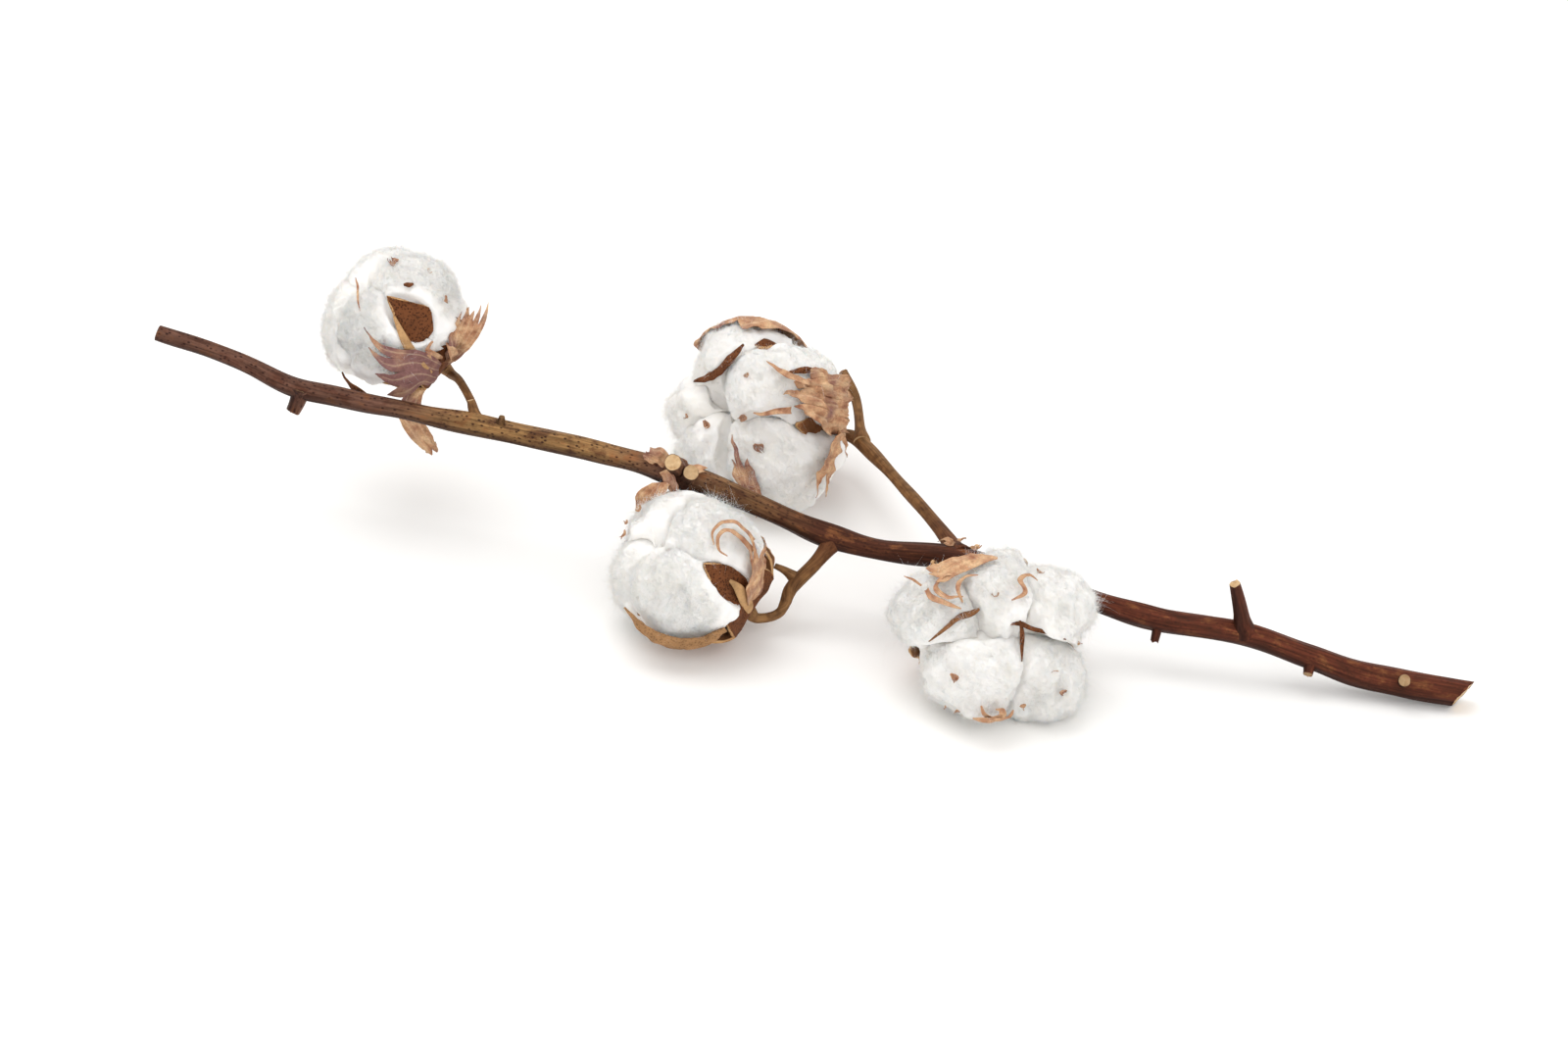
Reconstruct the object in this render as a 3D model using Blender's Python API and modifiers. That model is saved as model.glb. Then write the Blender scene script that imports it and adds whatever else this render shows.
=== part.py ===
"""A cut cotton branch: one woody stem, its side branches and four open bolls, lying on its bolls.

All lengths below are millimetres; meshes are made in metres. +Z is up and Z = 0 is the surface
that the branch lies on. Each boll has a frame of its own: its axis runs from its stalk to its
mouth, `ring` and `radial` are distances from that axis, `along` is the distance from the boll's
centre towards the mouth, and an azimuth turns about the axis, counted from the side nearest +X.
"""

import math

import bmesh
import bpy
import numpy as np
from mathutils import Matrix, Vector

MM = 0.001
COLLECTION = "cotton_branch"
TOOLS = "cotton_branch_tools"

# The branch is laid out about its middle, then moved so that its footprint is centred on the origin.
FOOTPRINT_CENTRE = (11.66, 64.8, 0.0)

GAP = 0.3
FLOOR = 0.0

# Main stem, left end to right end: x, y, z, radius. It swells at every node.
STEM_ROUTE = [
    (-221, 58, 65, 2.8),
    (-194, 55, 60.5, 2.9),
    (-171, 52, 54.5, 3.6),
    (-138, 50, 53, 3.3),
    (-108, 47, 52.5, 3.8),
    (-80, 45, 51.5, 3.8),
    (-56, 43, 50, 3.7),
    (-39, 42, 47.5, 4.5),
    (-18, 41, 43, 3.8),
    (0, 40, 37.5, 3.7),
    (17, 39, 33, 4.2),
    (35, 38, 31, 3.7),
    (63, 38, 32, 4.3),
    (88, 37, 28, 3.7),
    (112, 37, 23, 3.7),
    (132, 37, 19.5, 4.1),
    (162, 37, 18.5, 4.1),
    (186, 38, 12.5, 4.2),
    (209, 38, 7.5, 4.8),
    (246, 39, 5.2, 4.9),
]
STEM_STEP = 9.0
STEM_SIDES = 3
CUT_POINT = (241, 39, 5)
CUT_NORMAL = (0.8, -0.5, -0.35)

# What was cut from the stem: foot, tip, foot radius, tip radius.
STEM_STUBS = {
    "end_stub": ((-170, 52, 54), (-172, 49, 46.5), 3.2, 2.4),
    "node_stub": ((-39, 42, 49), (-40, 35, 56), 3.2, 2.9),
    "leaf_scar": ((-36, 40, 48), (-32, 34, 49), 3.0, 2.2),
    "low_stub": ((132, 37, 20), (132, 33, 13), 2.0, 1.5),
    "upright_twig": ((162, 37, 19), (155, 34, 40), 2.9, 1.9),
    "low_scar": ((186, 38, 13), (186, 32, 9), 2.6, 1.6),
    "front_scar": ((219, 38, 7), (219, 32, 12), 2.6, 2.2),
}

# Side branches as rows of x, y, z, radius. Each starts inside the main stem and ends in the collar
# under its boll. A fork is a twig that was cut off short.
BRANCHES = {
    "boll_1_stalk": ("boll_1", [(-108, 47, 53, 1.6), (-112, 58, 55, 1.5), (-118, 72, 54, 1.4)]),
    "fruiting_branch_2": (
        "boll_2",
        [(62, 38, 32, 3.4), (54, 57, 31, 2.5), (40, 90, 26, 2.2), (23, 129, 19, 2.6)],
    ),
    "fruiting_branch_3": (
        "boll_3",
        [(18, 39, 33, 3.2), (13, 33, 26, 2.5), (6, 29, 17, 2.4), (3, 26, 8, 1.7)],
    ),
    "boll_4_stalk": ("boll_4", [(70, 38, 30, 2.6), (67, 36, 18, 2.2), (64, 32, 10, 2.2)]),
}
FORKS = {
    "fruiting_branch_2": [(24, 127, 20, 2.2), (20, 146, 26, 1.9), (14, 155, 32, 1.7)],
    "fruiting_branch_3": [(8, 30, 19, 1.8), (3, 32, 21, 1.4), (-1, 33, 22, 1.1)],
}
COLLAR_GAP = 0.8
COLLAR_LENGTH = 4.5
COLLAR_RADII = (1.7, 2.7)
BRANCH_STEP = 6.0
BRANCH_SIDES = 2

# A boll's bur is a bowl of valves as deep as its depth, centred on the boll. A valve is (azimuth,
# angle from the axis to its tip, distance from the axis). Lock k of lint lies between valves
# k - 1 and k and is (azimuth, ring, along, (radial, tangential, axial) half-sizes). A bract is
# (azimuth, half width in degrees, [(radial, along), ...] from root to tip).
BOLLS = {
    "boll_1": {
        "centre": (-143, 80, 71),
        "opens": (-0.68, -0.14, 0.72),
        "depth": 24,
        "valves": ((45, 85, 20.5), (135, 85, 20.5), (225, 80, 20.5), (315, 55, 20.5)),
        "locks": [
            (0, 12.5, 2, (12.5, 15.5, 18.0)),
            (90, 12.0, 4, (12.5, 15.5, 18.0)),
            (180, 13.0, 4, (13.0, 16.5, 18.0)),
            (270, 11.5, 2, (12.5, 15.0, 17.0)),
        ],
        "bracts": [
            (265, 38, [(4.5, -26), (15, -26.5), (24, -17), (28, -4)]),
            (345, 26, [(4.5, -26), (16, -26), (27, -18), (32, -9)]),
        ],
    },
    "boll_2": {
        "centre": (-14, 121, 27.2),
        "opens": (-0.79, -0.49, 0.35),
        "depth": 29,
        "valves": ((72, 70, 27), (145, 60, 26), (211, 75, 25.5), (278, 85, 25.5), (355, 85, 27)),
        "locks": [
            (35, 18, 3, (15.5, 18.0, 21.0)),
            (110, 20, 5, (15.5, 18.0, 21.0)),
            (180, 18, 7, (15.0, 17.5, 20.0)),
            (242, 19, 5, (16.5, 19.0, 21.0)),
            (315, 20, -2, (16.5, 19.0, 21.0)),
        ],
        "bracts": [
            (32, 22, [(4.5, -31), (18, -31), (31, -22), (37, -10)]),
            (105, 26, [(4.5, -31), (20, -31), (33, -18), (37, -2), (34, 12)]),
        ],
    },
    "boll_3": {
        "centre": (-28.5, 19, 25),
        "opens": (-0.79, -0.12, 0.60),
        "depth": 25,
        "valves": ((48, 85, 21), (145, 80, 21), (228, 70, 21), (318, 78, 21)),
        "locks": [
            (5, 13, 2, (13.0, 16.0, 18.0)),
            (100, 12, 6, (13.0, 16.0, 18.0)),
            (185, 13.5, 5, (13.0, 16.0, 18.0)),
            (272, 13, 2, (13.5, 16.5, 18.0)),
        ],
        "bracts": [
            (355, 20, [(4.5, -27), (16, -27), (26, -18), (29, -5)]),
            (62, 18, [(4.5, -27), (14, -27), (23, -19), (26, -12)]),
            (112, 20, [(4.5, -27), (15, -27), (26, -17), (29, -6)]),
        ],
    },
    "boll_4": {
        "centre": (76, 3.5, 23.6),
        "opens": (0.327, -0.773, 0.537),
        "depth": 25,
        "valves": ((78, 95, 27), (140, 95, 32), (196, 110, 31), (277, 135, 23), (360, 95, 27)),
        "locks": [
            (37, 19, 2, (18.0, 16.5, 17.0)),
            (106, 14.5, 4, (16.0, 15.5, 18.0)),
            (169, 24, -2, (16.0, 16.0, 16.0)),
            (232, 18, 3, (20.0, 19.5, 18.0)),
            (324, 18.5, 1, (18.0, 17.0, 17.0)),
        ],
        "bracts": [
            (150, 14, [(4.5, -27), (18, -28), (33, -19), (37, -4)]),
            (2, 18, [(4.5, -27), (16, -27), (27, -20), (34, -9)]),
            (205, 14, [(4.5, -27), (15, -28), (29, -24), (36, -14)]),
        ],
    },
}

BUR_WALL = 1.1
BUR_NOTCH_ANGLE = 150
BUR_COLUMNS_PER_VALVE = 6
BUR_ROWS = 6
LOCK_SEGMENTS = 14
LOCK_RINGS = 9
CLASP_STEP = 24
CLASP_SHARE = 0.12
STEM_CLEARANCE = 0.8
BRACT_WALL = 0.6
BRACT_COLUMNS = 4
BRACT_ROWS = 6
BRACT_TIP = 0.12

# Loose dry scales: points from root to tip, half width and the direction of their width.
SCALES = {
    "boll_1_bract_3": (
        [(-127, 82, 50), (-127, 82, 40), (-124, 80, 30), (-126, 79, 20)],
        4.6,
        (1, -0.2, 0.1),
    ),
    "boll_2_bract_3": ([(15, 130, 12), (9, 119, 5), (-2, 105, 2.5), (-11, 92, 2)], 6.5, (0.8, 0.5, 0.2)),
    "stipule_1": ([(-44, 37, 53), (-47, 34, 57), (-50, 33, 60)], 2.4, (0.8, 0.0, 0.6)),
    "stipule_2": ([(-44, 36, 48), (-46, 32, 48), (-48, 29, 45)], 2.8, (0.9, 0.0, 0.3)),
    "stipule_3": ([(-29, 36, 50), (-27, 33, 54), (-26, 31, 57)], 1.8, (0.9, 0.3, 0.0)),
}

BARK_COLOUR = (0.11, 0.045, 0.03)
TWIG_COLOUR = (0.19, 0.10, 0.05)
BUR_COLOUR = (0.16, 0.07, 0.03)
BRACT_COLOUR = (0.52, 0.28, 0.15)
LINT_COLOUR = (0.92, 0.91, 0.89)


def clear_scene():
    for obj in list(bpy.data.objects):
        bpy.data.objects.remove(obj, do_unlink=True)


def collection(name):
    made = bpy.data.collections.new(name)
    bpy.context.scene.collection.children.link(made)
    return made


def finish(obj, colour, roughness):
    """Give the object a plain material of its own."""
    material = bpy.data.materials.new(obj.name)
    material.use_nodes = True
    shader = material.node_tree.nodes["Principled BSDF"]
    shader.inputs["Base Color"].default_value = (*colour, 1.0)
    shader.inputs["Roughness"].default_value = roughness
    shader.inputs["Metallic"].default_value = 0.0
    obj.data.materials.clear()
    obj.data.materials.append(material)


def place(points):
    """Layout millimetres to metres about the footprint's centre."""
    return (np.asarray(points, float) - FOOTPRINT_CENTRE) * MM


def object_from(bm, name, home):
    mesh = bpy.data.meshes.new(name)
    bm.to_mesh(mesh)
    bm.free()
    mesh.shade_smooth()
    obj = bpy.data.objects.new(name, mesh)
    home.objects.link(obj)
    return obj


def as_tool(obj):
    obj.hide_render = True
    obj.display_type = "WIRE"
    return obj


def smooth_path(rows, spacing):
    """Catmull-Rom curve through rows of x, y, z, radius, with a sample about every `spacing`."""
    rows = np.array(rows, float)
    ends = np.vstack([2 * rows[0] - rows[1], rows, 2 * rows[-1] - rows[-2]])
    pieces = []
    for before, start, end, after in zip(ends, ends[1:], ends[2:], ends[3:]):
        steps = max(2, round(float(np.linalg.norm((end - start)[:3])) / spacing))
        t = np.linspace(0, 1, steps, endpoint=False)[:, None]
        linear = (end - before) * t
        square = (2 * before - 5 * start + 4 * end - after) * t**2
        cubic = (3 * start - before - 3 * end + after) * t**3
        pieces.append(0.5 * (2 * start + linear + square + cubic))
    return np.vstack(pieces + [rows[-1:]])


def tube(name, rows, spacing, sides, home, grow=0.0):
    """Round tube along a smooth path, as a welded mesh with closed ends."""
    path = smooth_path(rows, spacing)
    curve = bpy.data.curves.new(name, "CURVE")
    curve.dimensions = "3D"
    curve.bevel_depth = MM
    curve.bevel_resolution = sides
    curve.use_fill_caps = True
    spline = curve.splines.new("POLY")
    spline.points.add(len(path) - 1)
    for point, row in zip(spline.points, path):
        point.co = (*place(row[:3]), 1.0)
        point.radius = row[3] + grow
    guide = bpy.data.objects.new(name + "_line", curve)
    home.objects.link(guide)
    graph = bpy.context.evaluated_depsgraph_get()
    mesh = bpy.data.meshes.new_from_object(guide.evaluated_get(graph))
    bm = bmesh.new()
    bm.from_mesh(mesh)
    bmesh.ops.remove_doubles(bm, verts=bm.verts, dist=0.01 * MM)
    bmesh.ops.recalc_face_normals(bm, faces=bm.faces)
    obj = object_from(bm, name, home)
    obj.matrix_world = guide.matrix_world
    bpy.data.objects.remove(guide)
    bpy.data.meshes.remove(mesh)
    return obj


def cone(name, foot, tip, foot_radius, tip_radius, home):
    """Tapered stub from foot to tip."""
    foot, tip = Vector(place(foot)), Vector(place(tip))
    run = tip - foot
    bm = bmesh.new()
    bmesh.ops.create_cone(
        bm, cap_ends=True, segments=10, radius1=foot_radius * MM, radius2=tip_radius * MM, depth=run.length
    )
    turn = run.to_track_quat("Z", "Y").to_matrix().to_4x4()
    bmesh.ops.transform(bm, matrix=Matrix.Translation((foot + tip) / 2) @ turn, verts=bm.verts)
    return object_from(bm, name, home)


def combine(obj, other, operation):
    """Union with, or difference from, a tool mesh."""
    modifier = obj.modifiers.new(operation.title() + " " + other.name, "BOOLEAN")
    modifier.operation = operation
    modifier.solver = "EXACT"
    modifier.object = as_tool(other)


def clip(bm, point, normal):
    """Cut away what lies beyond a plane and close the cut with one face."""
    geometry = bm.verts[:] + bm.edges[:] + bm.faces[:]
    cut = bmesh.ops.bisect_plane(
        bm, geom=geometry, dist=1e-7, plane_co=Vector(point), plane_no=Vector(normal), clear_outer=True
    )
    edges = [item for item in cut["geom_cut"] if isinstance(item, bmesh.types.BMEdge)]
    if edges:
        bmesh.ops.remove_doubles(bm, verts=bm.verts, dist=0.02 * MM)
        open_edges = [edge for edge in bm.edges if edge.is_boundary]
        bmesh.ops.holes_fill(bm, edges=open_edges, sides=0)


def sheet(name, columns, rows, surface, wall, home):
    """Thin curved sheet: a grid laid on surface(u, v), welded where it meets itself, with a wall."""
    bm = bmesh.new()
    bmesh.ops.create_grid(bm, x_segments=columns, y_segments=rows, size=0.5)
    for vertex in bm.verts:
        vertex.co = surface(vertex.co.x + 0.5, vertex.co.y + 0.5)
    bmesh.ops.remove_doubles(bm, verts=bm.verts, dist=0.01 * MM)
    bmesh.ops.recalc_face_normals(bm, faces=bm.faces)
    obj = object_from(bm, name, home)
    solidify = obj.modifiers.new("Wall", "SOLIDIFY")
    solidify.thickness = wall * MM
    solidify.offset = 0.0
    return obj


class BollFrame:
    """A boll's axis, centre and azimuths, and the way from them to the branch's frame."""

    def __init__(self, centre, opens):
        self.centre = np.array(centre, float)
        self.axis = np.array(opens, float) / np.linalg.norm(opens)
        side = np.array((1.0, 0.0, 0.0)) - self.axis[0] * self.axis
        self.side = side / np.linalg.norm(side)
        self.across = np.cross(self.axis, self.side)

    def outward(self, azimuth):
        angle = math.radians(azimuth)
        return math.cos(angle) * self.side + math.sin(angle) * self.across

    def tangent(self, azimuth):
        return self.outward(azimuth + 90)

    def point(self, radial, azimuth, along, tangential=0.0):
        offset = radial * self.outward(azimuth) + tangential * self.tangent(azimuth)
        return place(self.centre + offset + along * self.axis)


def collar(boll):
    """Rows that bring a stalk straight up the boll's axis and swell it under the bur."""
    frame = BollFrame(boll["centre"], boll["opens"])
    top = boll["depth"] + BUR_WALL / 2 + COLLAR_GAP
    foot, head = (frame.centre - frame.axis * (top + drop) for drop in (COLLAR_LENGTH, 0))
    return [(*foot, COLLAR_RADII[0]), (*head, COLLAR_RADII[1])]


def meeting(valve, following):
    """Azimuth of the corner where the flat sides of two neighbouring valves meet."""
    gap = math.radians(following[0] - valve[0])
    near, far = valve[2], following[2]
    return valve[0] + math.degrees(math.atan2(far - near * math.cos(gap), near * math.sin(gap)))


def make_bur(name, frame, boll, home):
    """Dry open fruit wall: a bowl of pointed valves, flat-sided so that a valve backs each seam."""
    depth, valves = boll["depth"], boll["valves"]
    edges = [meeting(before, after) for before, after in zip(valves, valves[1:])]
    last = meeting(valves[-1], (valves[0][0] + 360, *valves[0][1:]))
    edges = [last - 360, *edges, last]

    def surface(u, v):
        turn = u * len(valves)
        index = min(int(turn + 1e-6), len(valves) - 1)
        azimuth = edges[index] + (turn - index) * (edges[index + 1] - edges[index])
        centre, end, radius = valves[index]
        half = (edges[index + 1] - centre) if azimuth > centre else (centre - edges[index])
        off_centre = abs(azimuth - centre) / half
        end += (BUR_NOTCH_ANGLE - end) * off_centre**0.8
        polar = math.radians(180 + v * (end - 180))
        radial = radius * math.sin(polar)
        tangential = radial * math.tan(math.radians(azimuth - centre))
        return frame.point(radial, centre, depth * math.cos(polar), tangential)

    obj = sheet(name, BUR_COLUMNS_PER_VALVE * len(valves), BUR_ROWS, surface, BUR_WALL, home)
    finish(obj, BUR_COLOUR, 0.7)


def make_lock(name, frame, boll, index, stem, home):
    """One lock of lint: an ellipsoid pressed flat by its neighbours, its valves, the stem and the floor."""
    azimuth, ring, along, (radial, tangential, axial) = boll["locks"][index]
    bm = bmesh.new()
    bmesh.ops.create_uvsphere(bm, u_segments=LOCK_SEGMENTS, v_segments=LOCK_RINGS, radius=1.0)
    columns = [frame.outward(azimuth) * radial, frame.tangent(azimuth) * tangential, frame.axis * axial]
    stretch = Matrix(np.array(columns).T * MM).to_4x4()
    centre = frame.point(ring, azimuth, along)
    bmesh.ops.transform(bm, matrix=Matrix.Translation(Vector(centre)) @ stretch, verts=bm.verts)

    depth = boll["depth"]
    for (valve, end, radius), facing in ((boll["valves"][index - 1], -1), (boll["valves"][index], 1)):
        normal = frame.tangent(valve) * facing
        clip(bm, frame.point(0, 0, 0) - normal * GAP / 2 * MM, normal)
        for angle in [*range(174, end + CLASP_STEP // 2, -CLASP_STEP), end]:
            polar = math.radians(angle)
            touch = frame.point(radius * math.sin(polar), valve, depth * math.cos(polar))
            normal = frame.outward(valve) * depth * math.sin(polar) + frame.axis * radius * math.cos(polar)
            normal /= np.linalg.norm(normal)
            clip(bm, touch - normal * CLASP_SHARE * radius * MM, normal)

    nearest = stem[np.argmin(np.linalg.norm(stem[:, :3] - frame.centre, axis=1))]
    away = nearest[:3] - frame.centre
    away /= np.linalg.norm(away)
    clip(bm, place(nearest[:3] - away * (nearest[3] + STEM_CLEARANCE)), away)
    clip(bm, (0, 0, FLOOR * MM), (0, 0, -1))
    obj = object_from(bm, name, home)
    finish(obj, LINT_COLOUR, 0.95)


def make_bract(name, frame, bract, home):
    """Dry bract: it leaves the stalk under the bur and turns out and up round the lint."""
    azimuth, half_width, route = bract
    path = smooth_path([(radial, along, 0, 0) for radial, along in route], 6.0)
    steps = np.linspace(0, 1, len(path))

    def surface(u, v):
        radial = np.interp(v, steps, path[:, 0])
        along = np.interp(v, steps, path[:, 1])
        width = half_width * (BRACT_TIP + (1 - BRACT_TIP) * math.sin(math.pi * (0.18 + 0.82 * v)) ** 0.7)
        return frame.point(radial, azimuth + (2 * u - 1) * width, along)

    obj = sheet(name, BRACT_COLUMNS, BRACT_ROWS, surface, BRACT_WALL, home)
    finish(obj, BRACT_COLOUR, 0.85)


def make_scale(name, route, half_width, side, home):
    """Loose dry scale: a strip along its own path, widest in the middle."""
    path = smooth_path([(*point, 0) for point in route], 5.0)[:, :3]
    steps = np.linspace(0, 1, len(path))
    side = np.array(side, float) / np.linalg.norm(side)

    def surface(u, v):
        middle = np.array([np.interp(v, steps, path[:, axis]) for axis in range(3)])
        width = half_width * (BRACT_TIP + (1 - BRACT_TIP) * math.sin(math.pi * (0.2 + 0.75 * v)))
        return place(middle + side * (2 * u - 1) * width)

    obj = sheet(name, 2, BRACT_ROWS, surface, BRACT_WALL, home)
    finish(obj, BRACT_COLOUR, 0.85)


def make_stem(home, tools):
    stem = tube("main_stem", STEM_ROUTE, STEM_STEP, STEM_SIDES, home)
    bm = bmesh.new()
    bm.from_mesh(stem.data)
    clip(bm, place(CUT_POINT), CUT_NORMAL)
    bm.to_mesh(stem.data)
    bm.free()
    for name, shape in STEM_STUBS.items():
        combine(stem, cone(name, *shape, tools), "UNION")
    finish(stem, BARK_COLOUR, 0.6)


def make_branches(home, tools):
    """Side branches, each fitted to the stem with a small gap round the joint."""
    for name, (boll, rows) in BRANCHES.items():
        branch = tube(name, rows + collar(BOLLS[boll]), BRANCH_STEP, BRANCH_SIDES, home)
        if name in FORKS:
            combine(branch, tube(f"{name}_fork", FORKS[name], BRANCH_STEP, BRANCH_SIDES, tools), "UNION")
        socket = tube(f"{name}_socket", STEM_ROUTE, STEM_STEP, STEM_SIDES, tools, grow=GAP)
        combine(branch, socket, "DIFFERENCE")
        finish(branch, TWIG_COLOUR, 0.65)


def make_bolls(home):
    stem = smooth_path(STEM_ROUTE, 2.0)
    for name, boll in BOLLS.items():
        frame = BollFrame(boll["centre"], boll["opens"])
        make_bur(f"{name}_bur", frame, boll, home)
        for index in range(len(boll["locks"])):
            make_lock(f"{name}_lock_{index + 1}", frame, boll, index, stem, home)
        for number, bract in enumerate(boll["bracts"], 1):
            make_bract(f"{name}_bract_{number}", frame, bract, home)


def main():
    clear_scene()
    home = collection(COLLECTION)
    tools = collection(TOOLS)
    make_stem(home, tools)
    make_branches(home, tools)
    make_bolls(home)
    for name, shape in SCALES.items():
        make_scale(name, *shape, home)


main()
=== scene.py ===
"""The looks of a dried cotton branch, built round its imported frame, laid out as a Blender add-on.

Lengths in this file are millimetres unless a name says otherwise, in the layout that the branch was
drawn in; `place` turns them into the frame's metres. A boll has a frame of its own: its axis runs from
its stalk to its mouth, `radial` is a distance from that axis, `along` a distance from the boll's centre
towards the mouth, and an azimuth turns about the axis from the side nearest +X.
"""

import math

import bmesh
import bpy
import numpy as np
from mathutils import Matrix


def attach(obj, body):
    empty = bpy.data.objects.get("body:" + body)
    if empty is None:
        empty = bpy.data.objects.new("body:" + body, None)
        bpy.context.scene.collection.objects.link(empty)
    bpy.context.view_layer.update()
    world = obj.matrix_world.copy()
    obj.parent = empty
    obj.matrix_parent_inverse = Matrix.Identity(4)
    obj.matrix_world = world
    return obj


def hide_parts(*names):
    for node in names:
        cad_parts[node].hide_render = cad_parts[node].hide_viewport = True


bl_info = {
    "name": "Cotton Branch",
    "version": (1, 0, 0),
    "blender": (4, 5, 0),
    "location": "3D View > Sidebar > Cotton",
    "description": "Dresses the frame of a dried cotton branch in bark, burs, bracts and lint",
    "category": "Object",
}

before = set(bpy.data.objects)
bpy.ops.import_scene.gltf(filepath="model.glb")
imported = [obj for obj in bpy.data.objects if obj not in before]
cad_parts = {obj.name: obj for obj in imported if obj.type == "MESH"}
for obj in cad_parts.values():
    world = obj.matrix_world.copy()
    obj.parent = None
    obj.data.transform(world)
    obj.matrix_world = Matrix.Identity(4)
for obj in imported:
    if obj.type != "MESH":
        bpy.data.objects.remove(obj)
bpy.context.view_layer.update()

MM = 0.001
FOOTPRINT_CENTRE = (11.66, 64.8, 0.0)
TURN = 2 * math.pi
CAP_RINGS = np.array([0.93, 0.7, 0.4, 0.0])  # rings that close a tube's end, as shares of its radius

# Main stem from its thin end to its thick end: x, y, z, radius.
STEM_ROUTE = [
    (-221, 58, 65, 2.8),
    (-194, 55, 60.5, 2.9),
    (-171, 52, 54.5, 3.6),
    (-138, 50, 53, 3.3),
    (-108, 47, 52.5, 3.8),
    (-80, 45, 51.5, 3.8),
    (-56, 43, 50, 3.7),
    (-39, 42, 47.5, 4.5),
    (-18, 41, 43, 3.8),
    (0, 40, 37.5, 3.7),
    (17, 39, 33, 4.2),
    (35, 38, 31, 3.7),
    (63, 38, 32, 4.3),
    (88, 37, 28, 3.7),
    (112, 37, 23, 3.7),
    (132, 37, 19.5, 4.1),
    (162, 37, 18.5, 4.1),
    (186, 38, 12.5, 4.2),
    (209, 38, 7.5, 4.8),
    (246, 39, 5.2, 4.9),
]
THICK_CUT = ((241, 39, 5), (0.8, -0.5, -0.35))  # a spot on the slanting cut, and which way it faces

# What was cut from the stem: foot, tip, foot radius, tip radius, how pale its end is.
STEM_STUBS = {
    "end_stub": ((-170, 52, 54), (-172, 49, 46.5), 3.2, 2.4, 0.3),
    "node_stub": ((-39, 42, 49), (-40, 35, 56), 3.2, 2.9, 1.0),
    "leaf_scar": ((-35, 40, 48), (-33.5, 36, 52.5), 3.2, 2.7, 0.85),
    "bud": ((-101, 46, 54), (-100, 45, 58.5), 1.6, 0.9, 0.1),
    "low_stub": ((132, 37, 20), (132, 33, 13), 2.0, 1.5, 0.2),
    "upright_twig": ((162, 37, 19), (155, 34, 40), 2.9, 1.9, 1.0),
    "low_scar": ((186, 38, 13), (186, 32, 9), 2.6, 1.6, 0.5),
    "front_scar": ((219, 38, 7), (219, 32, 12), 2.6, 2.2, 0.6),
}

# Side branches: the boll they end at, then rows of x, y, z, radius from the stem to its bur.
BRANCHES = {
    "boll_1_stalk": ("boll_1", [(-108, 47, 53, 1.6), (-112, 58, 55, 1.5), (-118, 72, 54, 1.4)]),
    "fruiting_branch_2": (
        "boll_2",
        [(62, 38, 32, 3.4), (54, 57, 31, 2.5), (40, 90, 26, 2.2), (23, 129, 19, 2.6)],
    ),
    "fruiting_branch_3": (
        "boll_3",
        [(18, 39, 33, 3.2), (13, 33, 26, 2.5), (6, 29, 17, 2.4), (3, 26, 8, 1.7)],
    ),
    "boll_4_stalk": ("boll_4", [(70, 38, 30, 2.6), (67, 36, 18, 2.2), (64, 32, 10, 2.2)]),
}
# The cut forks of the side branches, as rows of x, y, z, radius.
FORKS = {
    "boll_1_stalk": [(-109, 50, 53.5, 1.3), (-111, 52, 56, 1.2), (-112, 53, 58.5, 1.1)],
    "fruiting_branch_2": [(24, 127, 20, 2.2), (20, 146, 26, 1.9), (14, 155, 32, 1.7)],
    "fruiting_branch_3": [(8, 30, 19, 1.8), (3, 32, 21, 1.4), (-1, 33, 22, 1.1)],
}
# Collar that joins a stalk to its bur: how far below the bur, and the radius there.
COLLAR_DROPS = ((5.85, 1.7), (1.35, 2.7))

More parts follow.
